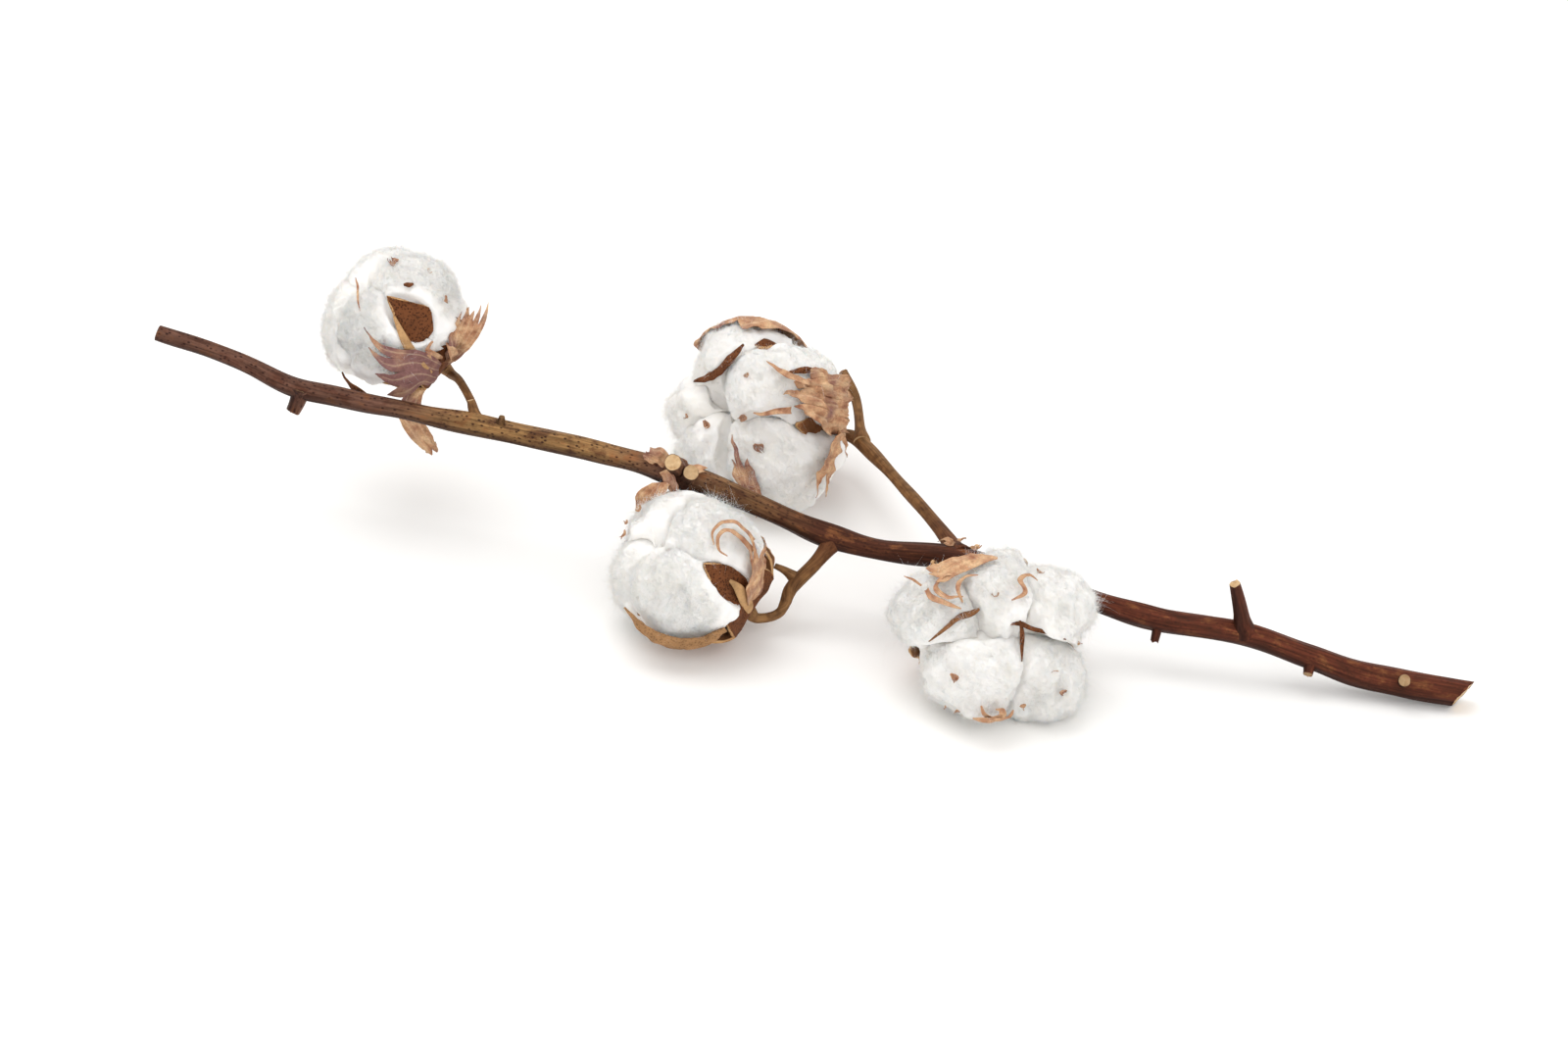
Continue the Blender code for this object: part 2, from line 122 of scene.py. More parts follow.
# A boll opens in a direction from its centre, and its bur reaches `depth` behind the centre. A valve is
# (azimuth, angle from the axis to its tip, distance from the axis), `dark_valves` are coloured dark, partly
# for their own darker tone and partly as painted shade, and `bare` says which valves show more than
# PLAIN_BARE. Lock k lies between valves k - 1 and k: (azimuth, ring, along, (radial, tangential, axial)
# half-sizes), and `fill` is how far it fills in towards the boll's axis and how much wider it swells.
# Neighbours cross their seam by `overlap`, which keeps it shallow. `seams`, where there are any, place the
# seam on each valve: where it starts across the axis, and its azimuth. Other seams start on the axis and
# run to the valve's middle.
BOLLS = {
    "boll_1": {
        "centre": (-143, 80, 71),
        "opens": (-0.68, -0.14, 0.72),
        "depth": 24,
        "valves": ((45, 85, 20.5), (135, 85, 20.5), (225, 80, 20.5), (315, 55, 20.5)),
        "dark_valves": (2, 3),
        "bare": {3: (52, 8.6)},
        "fill": (4.0, 2.8),
        "overlap": 1.6,
        "locks": [
            (0, 12.5, 2, (12.5, 15.5, 18.0)),
            (90, 12.0, 4, (12.5, 15.5, 18.0)),
            (180, 13.0, 3, (13.0, 17.0, 18.0)),
            (270, 12.0, 2, (13.0, 16.0, 17.5)),
        ],
    },
    "boll_2": {
        "centre": (-14, 121, 27.2),
        "opens": (-0.79, -0.49, 0.35),
        "depth": 29,
        "valves": ((72, 70, 27), (145, 60, 26), (211, 75, 25.5), (278, 85, 25.5), (355, 85, 27)),
        "dark_valves": (0, 1),
        "bare": {0: (45, 5.0), 1: (40, 4.5), 4: (25, 2.5)},
        "fill": (4.5, 1.6),
        "overlap": 0.2,
        "locks": [
            (35, 18, 3, (15.5, 18.0, 21.0)),
            (110, 20, 5, (15.5, 18.0, 21.0)),
            (180, 18, 7, (15.0, 17.5, 20.0)),
            (242, 19, 5, (16.5, 19.0, 21.0)),
            (315, 20, -2, (16.5, 19.0, 21.0)),
        ],
    },
    "boll_3": {
        "centre": (-28.5, 19, 25),
        "opens": (-0.79, -0.12, 0.60),
        "depth": 25,
        "valves": ((48, 85, 21), (145, 80, 21), (228, 70, 21), (318, 78, 21)),
        "dark_valves": (3,),
        "bare": {2: (75, 9.0), 3: (52, 6.8)},
        "fill": (4.0, 2.8),
        "overlap": 1.6,
        "locks": [
            (5, 13, 2, (13.0, 16.0, 18.0)),
            (100, 12, 7, (13.5, 16.5, 19.5)),
            (185, 13.5, 5, (13.0, 16.0, 18.0)),
            (272, 13, 2, (13.5, 16.5, 18.0)),
        ],
    },
    "boll_4": {
        "centre": (76, 3.5, 23.6),
        "opens": (0.327, -0.773, 0.537),
        "depth": 25,
        "valves": ((78, 95, 27), (140, 95, 32), (196, 124, 28), (277, 135, 23), (360, 95, 27)),
        "dark_valves": (),
        "bare": {},
        "fill": (3.0, 0.5),
        "overlap": 0.0,
        "seams": ((2.6, 4.6, 85), (-12, 6.4, 120), (2.6, 4.6, 196), (2.6, 4.6, 278), (2.6, 4.6, 353)),
        "locks": [
            (36, 20.5, 2, (16.5, 15.5, 16.5)),
            (103, 15.5, 4, (13.0, 16.0, 17.5)),
            (165, 21.5, -1, (15.5, 16.5, 15.5)),
            (233, 13.5, 3, (16.5, 17.5, 17.5)),
            (330, 20.5, 1, (16.0, 16.0, 16.0)),
        ],
    },
}
BUR_WALL = 1.1
PARTITION_WALL = 0.5
BRACT_WALL = 0.25
SCRAP_WALL = 0.2
BUR_CLEARANCE = 0.8  # least height of a bur's wall over the surface that the branch lies on
NOTCH_ANGLE = 150  # where the notches between valves end, in degrees from the axis
# How much of a valve its locks leave bare, unless its boll says otherwise: degrees down from its tip, and
# half width.
PLAIN_BARE = (50, 4.5)
SUNK_ANGLE = 118  # beyond this angle from the axis the lint keeps inside its bur all round
SLUMP = 2.6  # how far the lint sinks into its bur
LINT_CLEARANCE = 0.15  # least height of the lint over the surface that the branch lies on
BALD_MARGIN = 8  # no loose fibres start this close to a stem or branch, for they would cross it
# How far apart the lint's puffs, dents, tufts and wool are, and how far they stand out or in.
PUFFS, DENTS, TUFTS, WOOL = (19, 0.75), (13, 0.9), (6.5, 0.3), (2.6, 0.13)
DENT_ONSET = 0.9
SEAM_WAVE, SEAM_SWING, SEAM_SOFTNESS = 12, 1.1, 1.0
# The dip where a boll's seams meet: its depth, its radius, and how far past the centre it is whole.
DIMPLE, DIMPLE_RADIUS, DIMPLE_RISE = 3.5, 5.5, 6
# Bark relief: how much it is drawn out along the stem, and its wavelength.
BARK_SWELLS, BARK_RIDGES = (0.35, 9.0), (0.06, 2.2)

# Bracts that clasp a boll. Three rails run from root to tip: one margin, the middle, the other margin.
# Then: number of fingers, their share of the length, curl of their tips, crumple, how purple they are.
BRACTS = {
    "boll_1_bract_1": (
        "boll_1",
        [
            (-126, 79, 55), (-127, 66, 66), (-132, 57, 73), (-139, 54, 74), (-146, 54, 77),
            (-152, 58, 84), (-153, 68, 98),
        ],
        [
            (-126, 79, 54), (-126, 65, 60), (-131, 57, 66), (-139, 53, 65), (-144, 53, 67),
            (-149, 54, 72), (-152, 56, 80),
        ],
        [
            (-127, 79, 53), (-127, 68, 54), (-130, 60, 57), (-136, 57, 53), (-143, 58, 52),
            (-149, 58, 56), (-152, 57, 63),
        ],
        (4, 0.42, 0.25, 0.2, 1.0),
    ),
    "boll_1_bract_2": (
        "boll_1",
        [(-126, 80, 55), (-126, 73, 62), (-124, 68, 70), (-122, 69, 77), (-120, 73, 83), (-118, 76, 88)],
        [(-125, 80, 55), (-124, 74, 62), (-120, 70, 70), (-117, 70, 77), (-115, 74, 84), (-114, 77, 90)],
        [(-124, 79, 55), (-121, 75, 60), (-116, 70, 68), (-112, 70, 76), (-110, 74, 83), (-110, 79, 90)],
        (5, 0.3, 1.0, 0.7, 0.2),
    ),
    "boll_2_bract_1": (
        "boll_2",
        [(14, 133, 27), (16, 122, 46), (12, 114, 53), (5, 111, 57), (-2, 108, 58), (-8, 106, 57)],
        [(15, 130, 26), (16, 114, 42), (12, 106, 49), (4, 102, 53), (-4, 100, 54), (-10, 99, 52)],
        [(16, 128, 24), (17, 112, 32), (14, 101, 36), (8, 96, 42), (1, 94, 46), (-6, 95, 47)],
        (4, 0.2, 0.5, 1.3, 0.1),
    ),
    "boll_2_curled_bract": (
        "boll_2",
        [(15, 127, 24), (15, 105, 36), (11, 94, 31), (6, 89, 26), (2, 87, 22)],
        [(16, 127, 23), (16, 103, 30), (12, 93, 26), (7, 89, 21), (3, 88, 17)],
        [(16, 127, 22), (16, 104, 24), (12, 95, 20), (7, 92, 15), (4, 92, 11)],
        (3, 0.3, 1.2, 0.6, 0.1),
    ),
    "boll_2_pink_bract": (
        "boll_2",
        [(-13, 87, 10), (-19, 90, 19), (-24, 96, 26), (-27, 102, 31)],
        [(-11, 87, 11), (-16, 89, 21), (-20, 92, 28), (-23, 98, 33)],
        [(-8, 87, 13), (-12, 88, 23), (-15, 90, 29), (-17, 94, 34)],
        (3, 0.5, 0.3, 0.3, 0.55),
    ),
    "boll_3_bract_1": (
        "boll_3",
        [
            (-8, 23, 11), (-6, 18, 18), (-5, 15, 26), (-5, 14, 36), (-8, 11, 44), (-13, 11, 49),
            (-18, 10, 50),
        ],
        [(-8, 22, 12), (-6, 14, 21), (-6, 9, 30), (-7, 7, 38), (-10, 8, 45), (-14, 9, 49), (-18, 8, 50)],
        [(-8, 20, 13), (-8, 7, 21), (-9, 3, 29), (-9, 4, 38), (-12, 6, 44), (-15, 7, 47), (-18, 6, 48)],
        (3, 0.35, 0.8, 0.25, 0.1),
    ),
    "boll_4_bract_1": (
        "boll_4",
        [(72, 9, 53), (66, 9, 53), (60, 8, 52), (54, 5, 51), (49, 3, 48.5), (46, 1, 45)],
        [(72, 8, 53.5), (66, 7, 53.5), (61, 4, 52), (56, 1, 50.5), (51, -2, 48.5), (48, -4, 45.5)],
        [(72, 7, 53.5), (67, 4, 53), (62, 1, 51), (58, -2, 49.5), (55, -5, 47.5), (52, -7, 44)],
        (3, 0.22, 0.5, 0.35, 0.1),
    ),
}
# Bracts turned about a boll's axis: boll, azimuth, half width in degrees, (radial, along) from root to tip,
# then as for BRACTS.
TURNED_BRACTS = {
    "boll_2_bract_2": (
        "boll_2",
        112,
        30,
        [(4.5, -31), (18, -30), (27, -20), (29, -6), (27, 8), (21, 17)],
        (4, 0.1, 0.1, 0.3, 0.15),
    ),
    "boll_3_bract_2": (
        "boll_3",
        62,
        18,
        [(4.5, -27), (14, -27), (23, -19), (26, -12)],
        (5, 0.3, 0.5, 0.3, 0.2),
    ),
    "boll_3_bract_3": (
        "boll_3",
        112,
        20,
        [(4.5, -27), (15, -27), (26, -17), (29, -6)],
        (5, 0.3, 0.5, 0.3, 0.2),
    ),
    "boll_4_bract_2": (
        "boll_4",
        2,
        18,
        [(4.5, -27), (16, -27), (27, -20), (34, -9)],
        (5, 0.3, 0.5, 0.3, 0.1),
    ),
    "boll_4_bract_3": (
        "boll_4",
        205,
        11,
        [(4.5, -27), (12, -28), (19, -26), (22, -22)],
        (5, 0.3, 0.3, 0.3, 0.1),
    ),
}
# Loose bracts and scales: route, half width, direction of the width, then as for BRACTS.
SCALES = {
    "boll_1_bract_3": (
        [(-127, 78, 54), (-133, 72, 48), (-135, 72, 40), (-132, 71, 33), (-126, 70, 27), (-123, 69, 24)],
        4.4,
        (0.9, 0.1, 0.4),
        (2, 0.08, 0.2, 0.6, 0.1),
    ),
    "boll_2_bract_3": (
        [(15, 130, 12), (9, 119, 6), (-2, 105, 3.5), (-11, 92, 3)],
        6.5,
        (0.8, 0.5, 0.2),
        (4, 0.2, -0.2, 0.3, 0.1),
    ),
    "stipule_1": (
        [(-42, 40, 52), (-46, 38.5, 55.5), (-51, 38, 56.5)],
        3.4,
        (0.5, 0.2, 0.8),
        (3, 0.2, 0.5, 0.8, 0.1),
    ),
    "stipule_2": (
        [(-43, 36, 47), (-46, 34, 43), (-46, 31, 35)],
        5.2,
        (0.9, 0.0, 0.2),
        (3, 0.12, 0.2, 0.8, 0.0),
    ),
    "stipule_3": (
        [(-35, 39, 52.5), (-32, 39.5, 52.5), (-28, 40, 51)],
        2.0,
        (0.3, 0.9, 0.5),
        (2, 0.3, 0.4, 0.6, 0.3),
    ),
    "collar_scale_1": (
        [(59, 42, 35), (57, 40, 36.5), (54, 40, 38)],
        1.5,
        (0.2, 1.0, 0.2),
        (3, 0.3, 0.5, 0.5, 0.3),
    ),
    "collar_scale_2": (
        [(64, 42, 34), (66, 40, 36), (69, 40, 37)],
        1.5,
        (0.2, 1.0, 0.2),
        (3, 0.3, 0.5, 0.5, 0.3),
    ),
    "collar_scale_3": (
        [(62, 45, 36), (61, 42, 37.5), (60, 39, 38)],
        1.4,
        (1.0, 0.0, 0.2),
        (3, 0.3, 0.3, 0.5, 0.3),
    ),
    "node_scale": (
        [(-43, 37, 51), (-40, 35.4, 48), (-36, 35.4, 44)],
        2.3,
        (0.7, -0.1, 0.6),
        (3, 0.3, 0.3, 0.5, 0.3),
    ),
}
# Thin papery curls that lie on a boll, as rows of x, y, z, half width.
CURLS = {
    "boll_1": [
        [(-157, 74, 88, 0.1), (-155, 68, 87.5, 0.45), (-154, 64, 85, 0.3), (-153, 62, 82, 0.1)],
        [(-125, 67, 66, 0.5), (-127, 62, 69, 1.4), (-129, 60, 72, 0.9), (-128, 63, 74, 0.3)],
        [(-124, 72, 62, 1.0), (-121, 68, 66, 1.9), (-122, 66, 70, 1.6), (-124, 68, 72, 0.4)],
    ],
    "boll_2": [
        [(-3, 96, 47, 1.2), (-8, 94, 47, 1.0), (-13, 94, 45, 0.6), (-16, 96, 44, 0.2)],
        [(2, 103, 55, 1.0), (-6, 103, 57, 1.2), (-12, 107, 58, 0.5), (-14, 109, 58, 0.1)],
    ],
    "boll_3": [
        [
            (-9, 7, 43, 1.0), (-14, 7, 48, 0.9), (-18.5, 7, 50, 0.7), (-21, 5, 48, 0.6),
            (-20, 3, 44.5, 0.4), (-17, 2, 43, 0.15),
        ],
        [
            (-9, 9, 46, 0.9), (-15, 10, 51, 0.7), (-20, 9, 51.5, 0.6), (-23, 7, 48.5, 0.4),
            (-22, 4, 45.5, 0.15),
        ],
    ],
    "boll_4": [
        [
            (78, -6, 46.5, 0.2), (82, -5, 49.5, 0.8), (80, -1, 51.5, 0.9), (83, 3, 51.5, 0.7),
            (86, 4, 49, 0.2),
        ],
        [(50, -6, 46, 0.9), (52, -8, 44.5, 1.0), (57, -9.5, 44, 0.8), (62, -10, 43, 0.2)],
        [
            (59, -1, 50.5, 0.4), (55, -2, 49.5, 0.8), (53, -6, 47, 0.9), (57, -8, 45.5, 0.7),
            (62, -7, 46, 0.2),
        ],
        [(66, -2, 52, 0.2), (62, -3, 51, 0.8), (60, -6, 48.5, 0.8), (62, -9, 45, 0.2)],
        [(48, -4, 46, 0.3), (45, -1, 46, 0.35), (42, 2, 45, 0.1)],
        [(71, -25, 11, 0.4), (75, -24.5, 11, 1.8), (79, -22.5, 11, 1.6), (82, -21, 11.5, 0.4)],
        [
            (73, -25, 16, 0.3), (75, -25, 13, 0.9), (79, -23, 10.5, 1.0), (83, -20, 10, 0.8),
            (84, -20, 13, 0.3),
        ],
        [(78, -24, 15, 0.3), (80, -23, 14.5, 1.0), (80.5, -22.5, 12, 1.1), (78, -23, 10.5, 0.4)],
    ],
}
# Woody partitions that show in the seams: how dark they are, then rows of x, y, z, half width.
PARTITIONS = {
    "boll_1": [
        (
            0.1,
            [
                (-141, 60, 83, 0.3), (-137, 56, 78, 1.2), (-134, 56, 73, 1.5), (-130, 58, 67, 0.9),
                (-127, 62, 62, 0.3),
            ],
        ),
        (1.0, [(-158, 63, 56, 0.5), (-154, 58, 54, 2.0), (-150, 57, 52, 2.4), (-146, 58, 49, 1.2)]),
        (1.0, [(-139.5, 68, 91, 0.3), (-138, 69, 91, 0.9), (-136.5, 70, 91, 0.3)]),
    ],
    "boll_2": [
        (
            1.0,
            [
                (-7, 105, 56, 0.3), (-3, 107, 57, 0.9), (1, 109, 57, 1.2), (5, 111, 55.5, 0.9),
                (8, 113, 53.5, 0.3),
            ],
        ),
        (
            1.0,
            [
                (-39, 119, 40, 0.4), (-35, 116, 44, 1.7), (-31, 114, 49, 2.6), (-27, 114, 55, 2.2),
                (-23, 117, 59, 0.5),
            ],
        ),
    ],
    "boll_3": [
        (
            0.0,
            [
                (-15, 3, 33, 0.4), (-11.5, 3, 30, 1.6), (-9, 5, 25, 2.2), (-7, 9, 19, 1.8),
                (-7, 14, 14, 0.8),
            ],
        ),
        (
            0.45,
            [
                (-49, -1, 19, 0.4), (-43, -6, 15, 2.6), (-36, -8, 12, 3.6), (-29, -8, 11, 3.8),
                (-21, -6, 12, 3.4), (-14, -3, 17, 1.6),
            ],
        ),
    ],
    "boll_4": [
        (
            1.0,
            [
                (78, -8, 38, 0.15), (82, -6, 38, 0.8), (86, -4, 35.5, 0.8), (91, -3, 34, 0.6),
                (99, -2, 31.5, 0.15),
            ],
        ),
        (1.0, [(82, -5.5, 39, 0.3), (83.5, -7.5, 35, 0.8), (84, -9.5, 31, 0.6), (84.5, -12, 27, 0.1)]),
        (
            0.8,
            [
                (53, -14, 31, 0.1), (57, -13, 35.5, 0.6), (61, -10.5, 39.5, 0.9), (65, -9, 41, 1.2),
                (68, -7, 42, 0.4),
            ],
        ),
    ],
}
# Scraps of bract caught in the lint: azimuth, angle from the boll's axis, length, half width, turn.
SCRAPS = {
    "boll_1": [(15, 35, 5, 1.6, 30), (345, 90, 3.5, 0.9, 80), (0, 70, 3.5, 0.7, 100)],
    "boll_2": [
        (35, 45, 2.5, 0.8, 60),
        (300, 10, 4.5, 1.5, 130),
        (340, 35, 4.5, 1.5, 20),
        (205, 20, 2.5, 0.8, 90),
        (330, 60, 5, 1.3, 150),
    ],
    "boll_3": [
        (130, 25, 3, 1.1, 40),
        (100, 25, 3, 0.9, 120),
        (85, 35, 3.5, 1.2, 0),
        (155, 25, 4, 1.4, 90),
        (240, 60, 4, 1.2, 60),
    ],
    "boll_4": [
        (220, 60, 5, 1.2, 130),
        (330, 45, 4, 1.1, 70),
        (290, 65, 3.5, 1.2, 110),
        (325, 65, 4, 1.1, 30),
        (65, 75, 4, 0.9, 60),
        (10, 70, 4, 0.9, 0),
        (235, 80, 1.8, 0.5, 90),
        (240, 75, 2.5, 0.8, 0),
        (125, 45, 3, 0.4, 30),
    ],
}


# Floor, light and view, in metres: softboxes are (place, side, watts), and both look at LIT_SPOT.
FLOOR_SIDE = 5.0
STUDIO_WHITE, STUDIO_STRENGTH = (1.0, 0.985, 0.97, 1.0), 0.93
SOFTBOXES = {
    "key_softbox": ((-0.5, 0.1, 1.5), 1.0, 8.0),
    "fill_softbox": ((0.6, -1.1, 1.0), 1.4, 4.5),
}
LIT_SPOT = (0.0, 0.0, 0.03)
VIEW_SPOT = (-0.01166, -0.0648, 0.0612)
SENSOR_WIDTH = 36.0
NEAR_CLIP = 0.05


# ---------------------------------------------------------------- shapes


def place(points):
    """Layout millimetres to the frame's metres."""
    return (np.asarray(points, float) - FOOTPRINT_CENTRE) * MM


def smooth_path(rows, spacing):
    """Catmull-Rom curve through the rows, with a sample about every `spacing` millimetres."""
    rows = np.array(rows, float)
    ends = np.vstack([2 * rows[0] - rows[1], rows, 2 * rows[-1] - rows[-2]])
    pieces = []
    for before, start, end, after in zip(ends, ends[1:], ends[2:], ends[3:]):
        steps = max(2, round(float(np.linalg.norm((end - start)[:3])) / spacing))
        t = np.linspace(0, 1, steps, endpoint=False)[:, None]
        linear = (end - before) * t
        square = (2 * before - 5 * start + 4 * end - after) * t**2
        cubic = (3 * start - before - 3 * end + after) * t**3
        pieces.append(0.5 * (2 * start + linear + square + cubic))
    return np.vstack(pieces + [rows[-1:]])


def unit(vectors):
    """Each vector over its own length."""
    vectors = np.asarray(vectors, float)
    return vectors / np.maximum(np.linalg.norm(vectors, axis=-1, keepdims=True), 1e-12)


def ripples(points, wavelength, seed, waves=16):
    """Smooth random field about 0 with a spread of 1: a sum of cosine waves in random directions."""
    rng = np.random.default_rng(seed)
    directions = unit(rng.normal(size=(waves, 3)))
    lengths = wavelength * rng.uniform(0.7, 1.5, waves)
    turns = points @ (directions * (TURN / lengths)[:, None]).T + rng.uniform(0, TURN, waves)
    return np.cos(turns).sum(-1) * math.sqrt(2 / waves)


def held_back(past, softness):
    """How far to move a point that is `past` a wall: nothing well inside, all of it beyond the wall."""
    return softness * np.logaddexp(0, past / softness)


def normals_of(points, wrap):
    """Unit normals of a grid: the cross product of its steps along the columns and along the rows."""
    if wrap:
        across = np.roll(points, -1, axis=1) - np.roll(points, 1, axis=1)
    else:
        across = np.gradient(points, axis=1)
    return unit(np.cross(across, np.gradient(points, axis=0)))


class BollFrame:
    """A boll's axis, centre and azimuths, and the way from them to the layout."""

    def __init__(self, boll):
        """Three axes at right angles: the boll's own, the side nearest +X, and the way across both."""
        self.centre = np.array(boll["centre"], float)
        self.axis = unit(boll["opens"])
        self.side = unit(np.array((1.0, 0.0, 0.0)) - self.axis[0] * self.axis)
        self.across = np.cross(self.axis, self.side)

    def outward(self, azimuth):
        """Direction away from the axis at an azimuth."""
        angle = np.radians(azimuth)
        return np.cos(angle)[..., None] * self.side + np.sin(angle)[..., None] * self.across

    def tangent(self, azimuth):
        """Direction round the axis at an azimuth."""
        return self.outward(np.asarray(azimuth) + 90)

    def point(self, radial, azimuth, along, tangential=0.0):
        """Place in the layout of a point given in the boll's frame."""
        radial, azimuth, along, tangential = np.broadcast_arrays(radial, azimuth, along, tangential)
        offset = radial[..., None] * self.outward(azimuth) + tangential[..., None] * self.tangent(azimuth)
        return self.centre + offset + along[..., None] * self.axis


def tube(path, radii, sides, up, cut=None):
    """Tube: a circle of `sides` points carried along the path, at right angles to it. Points past the
    slanting cut (spot, direction) at its end, if there is one, slide back along the path onto its plane.
    Each end closes with rings that shrink to the middle. Returns the grid, the unrolled place of each
    point (distance along, and where it lies in its own circle) and whether it is on an end face."""
    heading = unit(np.gradient(path, axis=0))
    right = unit(np.cross(heading, up))
    over = np.cross(right, heading)
    angle = np.linspace(0, TURN, sides, endpoint=False)
    circle = np.cos(angle)[:, None] * right[:, None] - np.sin(angle)[:, None] * over[:, None]
    points = path[:, None] + circle * radii[:, None, None]
    if cut is not None:
        normal = unit(cut[1])
        past = np.maximum((points - cut[0]) @ normal, 0)
        points -= heading[:, None] * (past / (heading @ normal)[:, None])[..., None]
    run = np.concatenate([[0], np.cumsum(np.linalg.norm(np.diff(path, axis=0), axis=1))])
    turned = radii[:, None] * np.stack([np.cos(angle), np.sin(angle)])[:, None]
    unrolled = np.stack([np.repeat(run[:, None], sides, 1), *turned], -1)
    inside = np.zeros(points.shape[:2])
    caps = []
    for ring, spread in ((points[0], unrolled[0]), (points[-1], unrolled[-1])):
        middle = ring.mean(0)
        cap = middle + (ring - middle) * CAP_RINGS[:, None, None]
        flat_cap = spread * (1, 0, 0) + spread * (0, 1, 1) * CAP_RINGS[:, None, None]
        caps.append((cap, flat_cap))
    closed = np.ones((len(CAP_RINGS), sides))
    points = np.concatenate([caps[0][0][::-1], points, caps[1][0]])
    unrolled = np.concatenate([caps[0][1][::-1], unrolled, caps[1][1]])
    inside = np.concatenate([closed, inside, closed])
    return points, unrolled, inside


# ---------------------------------------------------------------- meshes


def grid_faces(rows, columns, wrap):
    """Corner numbers and map corners of the faces between the rows and columns of a grid."""
    i = np.arange(rows - 1)[:, None]
    j = np.arange(columns if wrap else columns - 1)[None, :]
    following = (j + 1) % columns
    corners = np.stack(
        [i * columns + j, i * columns + following, (i + 1) * columns + following, (i + 1) * columns + j], -1
    )
    span = columns if wrap else columns - 1
    u = np.broadcast_to(np.stack([j, j + 1, j + 1, j], -1) / span, corners.shape)
    v = np.broadcast_to(np.stack([i, i, i + 1, i + 1], -1) / (rows - 1), corners.shape)
    return corners.reshape(-1, 4), np.stack([u, v], -1).reshape(-1, 4, 2)


def mesh_from(name, points, faces, places, attributes):
    """Mesh from points in layout millimetres, groups of faces with equal corner counts, and their map."""
    mesh = bpy.data.meshes.new(name)
    loops = np.concatenate([group.reshape(-1) for group in faces])
    sizes = np.concatenate([np.full(len(group), group.shape[1]) for group in faces])
    mesh.vertices.add(len(points))
    mesh.vertices.foreach_set("co", place(points).astype(np.float32).reshape(-1))
    mesh.loops.add(len(loops))
    mesh.loops.foreach_set("vertex_index", loops.astype(np.int32))
    mesh.polygons.add(len(sizes))
    mesh.polygons.foreach_set("loop_start", (np.cumsum(sizes) - sizes).astype(np.int32))
    mesh.update(calc_edges=True)
    if places is not None:
        layer = mesh.uv_layers.new(name="OFBake")
        layer.data.foreach_set("uv", places.astype(np.float32).reshape(-1))
    for label, values in attributes.items():
        vector = values.ndim == 2
        layer = mesh.attributes.new(label, "FLOAT_VECTOR" if vector else "FLOAT", "POINT")
        layer.data.foreach_set("vector" if vector else "value", values.astype(np.float32).reshape(-1))
    return mesh


def weld(mesh):
    """Closes the seams and poles of a mesh, which drops the faces that had no width."""
    bm = bmesh.new()
    bm.from_mesh(mesh)
    bmesh.ops.remove_doubles(bm, verts=bm.verts, dist=2e-6)
    bm.to_mesh(mesh)
    bm.free()


def piece(name, mesh, materials, stands_for=()):
    """Object for a mesh: it rides on the frame's one body, and stands for its CAD nodes."""
    mesh.shade_smooth()
    for material in materials:
        mesh.materials.append(material)
    obj = bpy.data.objects.new(name, mesh)
    bpy.context.scene.collection.objects.link(obj)
    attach(obj, "root")
    if stands_for:
        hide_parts(*stands_for)
    return obj


def joined_grids(name, grids):
    """One mesh of several grids (points, wrap, attributes), each mapped to a square of its own."""
    side = math.ceil(math.sqrt(len(grids)))
    points, faces, places, attributes, count = [], [], [], {}, 0
    for number, (grid, wrap, values) in enumerate(grids):
        corners, spots = grid_faces(*grid.shape[:2], wrap)
        tile = np.array([number % side, number // side])
        points.append(grid.reshape(-1, 3))
        faces.append(corners + count)
        places.append((tile + 0.02 + 0.96 * spots) / side)
        count += grid.shape[0] * grid.shape[1]
        for label, value in values.items():
            width = (3,) if value.ndim == 3 else ()
            attributes.setdefault(label, []).append(value.reshape(-1, *width))
    points, faces, places = np.concatenate(points), [np.concatenate(faces)], np.concatenate(places)
    attributes = {label: np.concatenate(parts) for label, parts in attributes.items()}
    mesh = mesh_from(name, points, faces, places, attributes)
    weld(mesh)
    return mesh


# ---------------------------------------------------------------- materials

# A colour mix takes its factor on socket 0 and its colours on sockets 6 and 7, and gives socket 2. A map
# range takes the span that comes in on sockets 1 and 2 and the span that goes out on sockets 3 and 4.
COLOUR_MIX = {"output": 2, "data_type": "RGBA"}
SHADING = {**COLOUR_MIX, "blend_type": "MULTIPLY"}


def linear(code):
    """sRGB hex to a linear RGBA."""
    values = [int(code[i : i + 2], 16) / 255 for i in (1, 3, 5)]
    return (*[v / 12.92 if v <= 0.04045 else ((v + 0.055) / 1.055) ** 2.4 for v in values], 1.0)


def add_node(material, kind, inputs=(), stops=(), output=0, **settings):
    """Adds a node and returns one of its output sockets. `inputs` maps a socket's name or number to a value
    or to the socket that feeds it, and `stops` are the positions and sRGB colours of a ramp."""
    tree = material.node_tree
    made = tree.nodes.new(kind)
    for name, value in settings.items():
        setattr(made, name, value)
    for key, value in dict(inputs).items():
        if isinstance(value, bpy.types.NodeSocket):
            tree.links.new(value, made.inputs[key])
        else:
            made.inputs[key].default_value = value
    for number, (position, colour) in enumerate(stops):
        elements = made.color_ramp.elements
        element = elements[number] if number < 2 else elements.new(position)
        element.position, element.color = position, linear(colour)
    return made.outputs[output]


def new_material(name, sockets):
    """Material with one Principled shader and plain values on its sockets."""
    material = bpy.data.materials.new(name)
    material.use_nodes = True
    shader = material.node_tree.nodes["Principled BSDF"]
    for label, value in sockets.items():
        shader.inputs[label].default_value = value
    return material


def feed_shader(material, sources):
    """Links the material's patterns to its shader's sockets."""
    shader = material.node_tree.nodes["Principled BSDF"]
    for label, source in sources.items():
        material.node_tree.links.new(source, shader.inputs[label])
    return material


